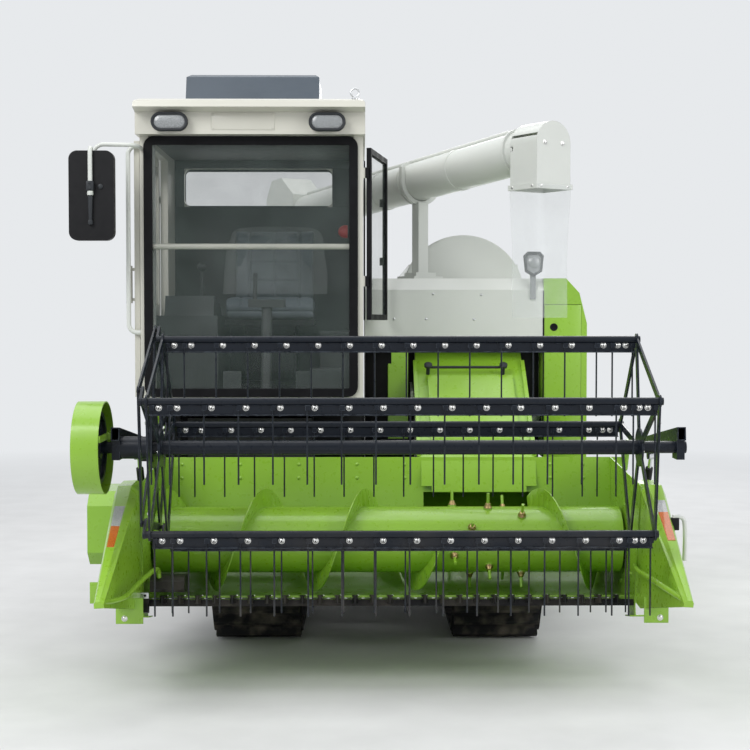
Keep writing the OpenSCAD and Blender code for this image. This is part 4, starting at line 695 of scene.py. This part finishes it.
# Dark lining of the cab: rear wall round its window, ceiling, left wall round the side window, rear of the right one
WALL, THICK, CLEAR, INSET, SILL_Z = 0.040, 0.004, 0.0003, 0.001, 1.628
in_x0, in_x1, in_y0, in_y1 = shell_low.x + WALL, shell_high.x - WALL, shell_low.y + WALL, shell_high.y - WALL
x0, x1, z0, z1 = in_x0 + INSET, in_x1 - INSET, shell_low.z + WALL + INSET, shell_high.z - INSET
rear0, rear1, ceiling = in_y1 - THICK - CLEAR, in_y1 - CLEAR, shell_high.z - 0.008
(hole_x0, hole_z0), (hole_x1, hole_z1) = (-1.050 + MID_X, 2.240), (-0.236 + MID_X, 2.450)
left0, left1 = in_x1 - THICK, in_x1 - CLEAR
lining = Piece()
for low, high in (((x0, rear0, z0), (x1, rear1, hole_z0)),
                  ((x0, rear0, hole_z1), (x1, rear1, z1)),
                  ((x0, rear0, hole_z0), (hole_x0, rear1, hole_z1)),
                  ((hole_x1, rear0, hole_z0), (x1, rear1, hole_z1)),
                  ((x0, in_y0, ceiling), (x1, rear0, z1)),
                  ((left0, in_y0, z0), (left1, rear0, SILL_Z)),
                  ((left0, y_at(1.544), SILL_Z), (left1, y_at(1.592), ceiling)),
                  ((left0, y_at(2.015), SILL_Z), (left1, rear0, ceiling)),
                  ((in_x0 + CLEAR, y_at(1.764), z0), (in_x0 + THICK, rear0, ceiling))):
    lining.block(low, high)
lining.done("cab_lining", "dash", "chassis", "grey_plastic")
posts = Piece()
for x0, x1 in ((shell_low.x + 0.043, shell_low.x + 0.075), (shell_high.x - 0.075, shell_high.x - 0.043)):
    posts.block((x0, in_y0 + 0.004, shell_low.z + WALL + 0.002), (x1, in_y0 + 0.040, shell_high.z - 0.010), 0.006)
posts.done("cab_posts", "post", "chassis", "grey_plastic")

beacon = Piece()
beacon.turned(at(-0.150, 1.640, 2.080), RIGHT,
              [(0, 0.034), (0.018, 0.034), (0.034, 0.028), (0.046, 0.016), (0.050, 0.0)], 28)
beacon.done("cab_red_cap", "red", "chassis", "grey_plastic")

# Ring on the roof's front corner
RING_R, RING_STEPS = 0.0195, 16
lift_ring = Piece()
lift_ring.turned(at(-0.109, 0.952, 2.662), UP,
                 [(0, 0.015), (0.006, 0.015), (0.010, 0.008), (0.014, 0.008), (0.014, 0.0)], 20)
ring_angles = [k * math.tau / RING_STEPS for k in range(RING_STEPS + 1)]
lift_ring.tube([at(-0.109 + RING_R * math.sin(a), 0.952, 2.693 - RING_R * math.cos(a)) for a in ring_angles],
               0.0042, 10, 3)
lift_ring.done("roof_ring", "steel", "chassis", "bare_steel")

# Door: black grip
grip = Piece()
grip.tube([(door_low.x - 0.004, door_low.y + 0.028, z) for z in (1.70, 1.76, 1.83, 1.88)], 0.011)
grip.done("door_grip", "plastic", "cab_door", "black_plastic")

# Bands round the unloading tube, which rises a little from its hinge, and bolts of the column's flange
yoke = Vector(JOINTS["unload_lift"]["pos_m"])
RISE = math.radians(4.7)
RUN = (ALONG * math.cos(RISE) + UP * math.sin(RISE)).normalized()
BAND_R, BAND_STEP, BAND_WIDTH = 0.1055, 0.0005, 0.024
bands = Piece()
for s in (0.62, 1.02, 1.72):
    bands.turned(yoke + RUN * s, RUN, [(0, BAND_R), (BAND_STEP, BAND_R + 0.003), (BAND_WIDTH, BAND_R + 0.003),
                                       (BAND_WIDTH + BAND_STEP, BAND_R)], 64)
bands.done("tube_bands", "white", "unload_boom", "white_paint")
FLANGE_BOLTS, FLANGE_R, FLANGE_TOP = 10, 0.150, 2.106
flange_bolts = Piece()
for k in range(FLANGE_BOLTS):
    a = 2 * math.pi * (k + 0.5) / FLANGE_BOLTS
    out_dir = Vector((math.cos(a), math.sin(a), 0))
    if out_dir.y < -0.8 or out_dir.dot(-ALONG) > 0.85:
        continue  # the flange is cut away there
    flange_bolts.bolt((yoke.x + FLANGE_R * math.cos(a), yoke.y + FLANGE_R * math.sin(a), FLANGE_TOP), UP, 0.009)
for s in (-1, 1):
    flange_bolts.bolt(yoke + ASIDE * s * 0.165, ASIDE * s, 0.016)
flange_bolts.done("column_bolts", "zinc", "chassis", "bare_steel")

# Hub bolts: a circle on each sprocket, one on each rear wheel and one on each roller
SPROCKET_BOLTS, ROLLER_COUNT = 8, 7
hubs = Piece()
for side in (-1, 1):
    for a in turns(SPROCKET_BOLTS):
        hubs.bolt(at(side * 0.670, 1.335 + 0.048 * math.cos(a), 0.345 + 0.048 * math.sin(a)), LEFT * side, 0.009)
    hubs.bolt(at(side * 0.700, 3.050, 0.215), LEFT * side, 0.018)
    for k in range(ROLLER_COUNT):
        hubs.bolt(at(side * 0.700, 1.415 + 1.375 * k / (ROLLER_COUNT - 1), 0.140), LEFT * side, 0.014)
hubs.done("hub_bolts", "zinc", "chassis", "bare_steel")

# ---------------------------------------------------------- header and spout

# Bolts of the spout: two on its arched front and two on each side of its flange
spout_low, spout_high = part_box("unload_spout")
spout_mid = Vector(((spout_low.x + spout_high.x) / 2, (spout_low.y + spout_high.y) / 2, 0))
SPOUT_HALF, FLANGE_Z = 0.100, spout_low.z + 0.013
heads = Piece()
for s in (-0.055, 0.055):
    heads.bolt(spout_mid + ALONG * SPOUT_HALF + ASIDE * s + UP * (spout_high.z - 0.105), ALONG, 0.010)
for side, across, half, span in ((ALONG, ASIDE, SPOUT_HALF + 0.008, 0.080), (-ALONG, ASIDE, SPOUT_HALF + 0.008, 0.080),
                                 (ASIDE, ALONG, SPOUT_HALF + 0.013, 0.075), (-ASIDE, ALONG, SPOUT_HALF + 0.013, 0.075)):
    for s in (-span, span):
        heads.bolt(spout_mid + side * half + across * s + UP * FLANGE_Z, side, 0.006)
heads.done("spout_bolts", "zinc", "unload_boom", "bare_steel")

# Divider reflectors: silver above orange on the front ridge of each nose
def nose_point(side, t, outward, lift):
    """Point on a divider's ridge: t runs from the tip to the top."""
    wall = -1.035 if side < 0 else 1.125
    y = -0.480 + 0.730 * t
    z = 0.546 + 0.361 * t
    inner, outer = 0.040 - 0.010 * t, 0.056 + 0.032 * t
    return at(wall + side * (inner + (outer - inner) * outward), y, z + lift)


for side, name, low, middle, high in ((-1, "right", 0.44, 0.62, 0.80), (1, "left", 0.49, 0.74, 0.85)):
    for key, ends in (("orange", (low, middle)), ("silver", (middle, high))):
        rings = [[nose_point(side, t, outward, lift) for outward, lift in
                  ((0.06, 0.0005), (0.94, 0.0005), (0.90, 0.0025), (0.10, 0.0025))] for t in ends]
        Piece().rings(rings).done(f"reflector_{key}_{name}", key, "header", "lamp_glass")

TILT = math.radians(10)
AUGER = Vector(JOINTS["auger_spin"]["pos_m"])


def header(x, y, z):
    """A point in the header's own level frame round the auger axis."""
    return Vector((x + MID_X, AUGER.y + y * math.cos(TILT) + z * math.sin(TILT),
                   AUGER.z - y * math.sin(TILT) + z * math.cos(TILT)))


HEAD_UP, HEAD_FRONT = header(0, 0, 1) - header(0, 0, 0), header(0, -1, 0) - header(0, 0, 0)
GUARD_PITCH, GUARD_COUNT = 0.0762, 27
GUARD_X0 = 0.045 - GUARD_COUNT // 2 * GUARD_PITCH
knife_bolts, green_bolts = Piece(), Piece()
for k in range(GUARD_COUNT):
    x = GUARD_X0 + GUARD_PITCH * k
    knife_bolts.bolt(header(x + 0.012, -0.250, -0.253), HEAD_UP, 0.0055)
    if k % 3 == 1:
        knife_bolts.dome(header(x, -0.264, -0.280), HEAD_FRONT, 0.009)
knife_bolts.done("knife_bolts", "zinc", "header", "bare_steel")
for x in (-0.94, -0.66, -0.38, -0.10, 0.13, 0.83, 0.99):
    for z in (0.365, 0.300):
        green_bolts.dome(header(x, 0.253, z), HEAD_FRONT, 0.007)
for x in (0.160, 0.790):
    green_bolts.turned(header(x, 0.2525, 0.115), HEAD_FRONT,
                       [(0, 0.026), (0.003, 0.026), (0.006, 0.022), (0.006, 0.017), (0.010, 0.015), (0.014, 0.011),
                        (0.014, 0.0)], 28)
for wall in (-1.030, 1.120):
    inward = RIGHT if wall > 0 else LEFT
    for y, z in ((-0.18, 0.02), (-0.12, 0.15), (0.02, -0.19), (0.16, -0.12), (0.10, 0.24), (-0.22, -0.16)):
        green_bolts.bolt(header(wall, y, z), inward, 0.008)
green_bolts.done("header_bolts", "green", "header", "green_paint")

# Guides that the auger's fingers pass through
GUIDE_ROWS, GUIDE_R = 3, 0.1555
fingers = Piece()
for i, x in enumerate((0.340, 0.420, 0.500, 0.580, 0.650)):
    for k in range(GUIDE_ROWS):
        a = math.radians(120 * k + 72 * i - 10)
        out_dir = Vector((0, -math.sin(a), math.cos(a)))
        base = Vector((x + MID_X, AUGER.y, AUGER.z)) + out_dir * GUIDE_R
        fingers.turned(base, out_dir, [(0, 0.0185), (0.004, 0.0185), (0.010, 0.014), (0.020, 0.012), (0.022, 0.0095),
                                       (0.023, 0.0078)], 24)
fingers.done("finger_guides", "brass", "header_auger", "bare_steel")

# Bar with two knobs on the feeder house's cover
SLOPE = math.radians(38.5)
FEEDER_Y, FEEDER_TOP, BAR_Y = 1.085, 0.941, 1.585
feed_up = Vector((0, -math.sin(SLOPE), math.cos(SLOPE)))


def on_feeder(x, y, lift):
    """Point on the feeder house's sloping top, lifted square to it."""
    return at(x, y, FEEDER_TOP + (y - FEEDER_Y) * math.tan(SLOPE)) + feed_up * lift


feeder = Piece()
feeder.tube([on_feeder(x, BAR_Y, 0.045) for x in (0.26, 0.40, 0.55, 0.675)], 0.007)
for x in (0.268, 0.658):
    feeder.turned(on_feeder(x, BAR_Y, -0.002), feed_up, [(0, 0.010), (0.050, 0.010), (0.054, 0.021), (0.066, 0.021),
                                                         (0.071, 0.013), (0.071, 0.0)], 20)
feeder.done("feeder_bar", "plastic", "header", "black_plastic")
cover = Piece()
for x in (0.272, 0.485, 0.698):
    for y in (1.185, 1.530):
        cover.dome(on_feeder(x, y, 0.018), feed_up, 0.007)
cover.done("feeder_bolts", "zinc", "header", "bare_steel")

# Bolts of the reel's stars: round the hub, and two on each rim bar
HUB_R, RIM_R = 0.055, 0.450
reel_low, reel_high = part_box("reel_frame")
star_bolts = Piece()
for x, axis in ((reel_low.x, RIGHT), (reel_high.x, LEFT)):
    for k in range(6):
        a = math.radians(60 * k + 15)
        star_bolts.bolt((x, REEL.y + HUB_R * math.cos(a), REEL.z + HUB_R * math.sin(a)), axis, 0.007)
    for i in range(BAT_COUNT):
        a, b = (math.radians(100 - 72 * j) for j in (i, i + 1))
        for t in (0.16, 0.84):
            y = -RIM_R * ((1 - t) * math.cos(a) + t * math.cos(b))
            z = RIM_R * ((1 - t) * math.sin(a) + t * math.sin(b))
            star_bolts.dome((x, REEL.y + y, REEL.z + z), axis, 0.008)
star_bolts.done("star_bolts", "zinc", "reel", "bare_steel")

# Inside the drive-side nose: dark housing over the knife's head, small cover and flat bar with its bolt
nose = Piece()
for x0, x1, section in (
        (-1.000, -0.850, ((-0.330, -0.236), (-0.345, -0.222), (-0.345, -0.190), (-0.315, -0.165), (-0.200, -0.155),
                          (-0.200, -0.236))),
        (-1.062, -1.000, ((-0.375, -0.322), (-0.375, -0.264), (-0.336, -0.260), (-0.336, -0.325))),
        (-1.062, -1.036, ((-0.345, -0.322), (-0.345, -0.262), (-0.200, -0.262), (-0.200, -0.322)))):
    nose.rings([[header(x, y, z) for y, z in section] for x in (x0, x1)])
nose.turned(header(-1.014, -0.378, -0.250), HEAD_FRONT, [(0, 0.006), (0.003, 0.006), (0.004, 0.0)], 20)
nose.done("knife_head_cover", "black", "header", "black_plastic")
flat_bar = Piece()
flat_bar.block(header(-1.065, -0.378, -0.263), header(-0.998, -0.372, -0.236), 0.001)
flat_bar.block(header(-1.062, -0.374, -0.262), header(-1.037, -0.200, -0.250), 0.001)
flat_bar.done("knife_head_bar", "steel", "header", "bare_steel")

# Bent rods from the noses' tips to the side walls, skid plates and the plate beside the drive
rods, skids, skid_bolts = Piece(), Piece(), Piece()
rods.tube([at(*p) for p in ((-1.066, -0.440, 0.538), (-1.050, -0.330, 0.522), (-1.018, -0.200, 0.516),
                            (-0.998, 0.000, 0.530), (-0.978, 0.190, 0.541), (-0.967, 0.300, 0.537),
                            (-0.964, 0.335, 0.520), (-0.963, 0.345, 0.492))], 0.0105, 14)
rods.tube([at(*p) for p in ((1.156, -0.435, 0.543), (1.146, -0.385, 0.548), (1.106, -0.215, 0.565),
                            (1.102, 0.000, 0.556), (1.103, 0.200, 0.547), (1.114, 0.330, 0.545))], 0.0112, 14)
rods.done("divider_rods", "green", "header", "green_paint")
for x0, x1, bolt_x in ((-1.120, -1.004, -1.083), (1.122, 1.226, 1.190)):
    skids.block(at(x0, 0.150, 0.330), at(x1, 0.156, 0.440), 0.001)
    skid_bolts.dome(at(bolt_x, 0.150, 0.353), FRONT, 0.010)
skids.block(at(-1.257, 0.300, 0.388), at(-1.100, 0.306, 0.481), 0.001)
skids.done("skid_plates", "green", "header", "green_paint")
skid_bolts.done("skid_bolts", "zinc", "header", "bare_steel")

# White guard rod on the free side, on a black bracket
guard_rod = Piece()
guard_rod.tube([at(x, 0.020, z) for x, z in ((1.212, 0.800), (1.235, 0.801), (1.254, 0.793), (1.262, 0.770),
                                             (1.264, 0.700), (1.262, 0.618))], 0.009, 14)
guard_rod.done("guard_rod", "white", "header", "white_paint")
bracket = Piece()
bracket.block(at(1.205, 0.010, 0.745), at(1.238, 0.030, 0.797), 0.003)
bracket.done("guard_rod_bracket", "black", "header", "black_paint")

# Thresher's front: small bolts, dark joint and green front of the side cover
front_bolts = Piece()
for x, z in ((0.0505, 1.749), (0.2956, 1.754), (0.546, 1.749), (0.092, 1.624), (0.259, 1.624), (0.509, 1.622)):
    front_bolts.dome(at(x, 1.600, z), FRONT, 0.0055)
front_bolts.done("thresher_bolts", "steel", "chassis", "bare_steel")
cover_front = Piece()
cover_front.block(at(0.876, 1.601, 0.962), at(1.0685, 1.607, 1.698), 0.001)
cover_front.done("side_cover_front", "green", "chassis", "green_paint")
joint = Piece()
joint.block(at(0.868, 1.5975, 0.905), at(0.8745, 1.608, 1.772), 0.001)
joint.turned(at(0.926, 1.602, 1.582), FRONT,
             [(0, 0.020), (0.003, 0.020), (0.005, 0.016), (0.002, 0.012), (0.002, 0.0)], 28)
joint.done("side_cover_joint", "seal", "chassis", "black_rubber")

# Black sheets as painted shade in the throat round the feeder house and below the cab, where only shadow shows, and the
# green plate at the throat's right
throat_shade = Piece()
for x0, x1, z0, z1 in ((-0.058, 0.205, 0.762, 1.478), (0.765, 0.870, 0.762, 1.478), (0.205, 0.765, 1.448, 1.478)):
    throat_shade.block(at(x0, 1.792, z0), at(x1, 1.799, z1), 0.001)
# Painted shade below the cab, between its floor and the header
throat_shade.block(at(-1.060, 1.700, 0.800), at(-0.062, 1.704, 1.204), 0.001)
throat_shade.done("throat_shade_sheets", "black", "chassis", "black_paint")
throat_plate = Piece()
throat_plate.plate([at(x, 1.596, z) for x, z in ((0.061, 1.000), (0.165, 1.000), (0.165, 1.452), (0.078, 1.452),
                                                 (0.078, 1.392), (0.061, 1.392))], FRONT, 0.006)
for x in (0.061, 0.158):
    throat_plate.block(at(x, 1.594, 1.040), at(x + 0.007, 1.794, 1.380), 0.001)
throat_plate.done("throat_plate", "green", "chassis", "green_paint")

# ---------------------------------------------------------------- the seat


VOXEL, PRESSURE, CLOTH_FRAMES = 0.008, 4.0, 20


def cushion(name, piece, cap, seam):
    """Padded cover: the block is remeshed, blown up a little as cloth, and its seams are drawn in."""
    obj = piece.to_object(name)
    remesh = obj.modifiers.new("remesh", "REMESH")
    remesh.mode = "VOXEL"
    remesh.voxel_size = VOXEL

    def baked():
        graph = bpy.context.evaluated_depsgraph_get()
        graph.update()
        return bpy.data.meshes.new_from_object(obj.evaluated_get(graph))

    obj.data = baked()
    obj.modifiers.clear()
    start = [v.co.copy() for v in obj.data.vertices]
    cloth = obj.modifiers.new("cloth", "CLOTH")
    cloth.settings.use_pressure = True
    cloth.settings.uniform_pressure_force = PRESSURE
    cloth.settings.effector_weights.gravity = 0.0
    cloth.settings.quality = 4
    cloth.point_cache.frame_start, cloth.point_cache.frame_end = 1, CLOTH_FRAMES
    for f in range(1, CLOTH_FRAMES + 1):
        bpy.context.scene.frame_set(f)
    swollen = baked()
    obj.modifiers.clear()
    obj.data = swollen
    bpy.context.scene.frame_set(1)
    for v, s in zip(obj.data.vertices, start):
        move = v.co - s
        if move.length > cap:
            v.co = s + move * (cap / move.length)
    smooth = obj.modifiers.new("smooth", "SUBSURF")
    smooth.levels = smooth.render_levels = 1
    obj.data = baked()
    obj.modifiers.clear()
    normals = [v.normal.copy() for v in obj.data.vertices]
    for v, normal in zip(obj.data.vertices, normals):
        v.co -= normal * seam(v.co)
    for f in obj.data.polygons:
        f.use_smooth = True
    obj.data.materials.clear()
    obj.data.materials.append(MATS["leather"])
    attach(obj, "chassis")
    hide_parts("seat_cushions")


def groove(distance, width, depth):
    """Depth of a sewn channel at a distance from its middle."""
    return depth * math.exp(-(distance / width) ** 2)


SEAT_X = at(-0.547, 0, 0).x
pan = Piece()
pan.rings([[at(x, y, z) for y, z in ((1.450, 1.632), (1.434, 1.690), (1.470, 1.728), (1.660, 1.722), (1.845, 1.712),
                                     (1.858, 1.680), (1.862, 1.632))] for x in (-0.775, -0.319)])
back = Piece()
back.rings([[at(x, y, z) for y, z in ((1.884, 1.742), (1.893, 1.708), (1.908, 1.712), (1.975, 2.060), (1.980, 2.104),
                                      (1.938, 2.106), (1.915, 2.070))] for x in (-0.762, -0.332)])


def pan_seam(co):
    """Two channels along the pan, three across between them and one round its side."""
    x, y = co.x - SEAT_X, co.y - REEL.y
    side = min(abs(x - 0.150), abs(x + 0.150))
    depth = groove(side, 0.006, 0.007) if co.z > 1.69 else 0.0
    for row in (1.55, 1.66, 1.77):
        depth += groove(y - row, 0.006, 0.005) if abs(x) < 0.15 and co.z > 1.69 else 0.0
    return depth + groove(co.z - 1.662, 0.005, 0.005)


def back_seam(co):
    """Three channels up the back's front and three across between the outer ones."""
    x = co.x - SEAT_X
    front = co.y - REEL.y < 1.872 + (co.z - 1.70) * 0.16 + 0.030
    depth = groove(x, 0.006, 0.006) if front else 0.0
    depth += groove(min(abs(x - 0.135), abs(x + 0.135)), 0.007, 0.009) if front else 0.0
    for row in (1.83, 1.93, 2.02):
        depth += groove(co.z - row, 0.006, 0.005) if front and abs(x) < 0.135 else 0.0
    return depth


cushion("seat_pan_cover", pan, 0.010, pan_seam)
cushion("seat_back_cover", back, 0.008, back_seam)


def seat_film():
    """Clear bag pulled over the seat's back, open below, with long slack folds."""
    around, rows = 80, 26
    low, high = 1.760, 2.128
    half_w, half_d, shoulder, lean = 0.262, 0.078, 0.35, 0.165
    rings = []
    for r in range(rows + 1):
        t = r / rows
        z = low + (high - low) * math.sin(t * math.pi / 2)
        middle_y = 1.935 + (z - low) * lean
        grow = math.sqrt(max(0.0, 1 - max(0.0, (t - shoulder) / (1 - shoulder)) ** 3.2))
        ring = []
        for a in turns(around):
            c, s = math.cos(a), math.sin(a)
            fold = 1 + 0.030 * math.sin(9 * a + 2.5 * t + 1.1 * math.sin(3 * a))
            fold += 0.06 * noise.noise(Vector((1.9 * c, 1.9 * s, 3.0 * t)))
            x = squared(c, 0.75) * half_w * (0.12 + 0.88 * grow) * fold * (1.06 - 0.10 * t)
            y = squared(s, 0.8) * half_d * (0.25 + 0.75 * grow) * fold
            ring.append(Vector((SEAT_X + x, middle_y + REEL.y + y, z)))
        rings.append(ring)
    obj = Piece().rings(rings, ends="open").done("seat_film", "film", "chassis", "clear_film", 180)


seat_film()
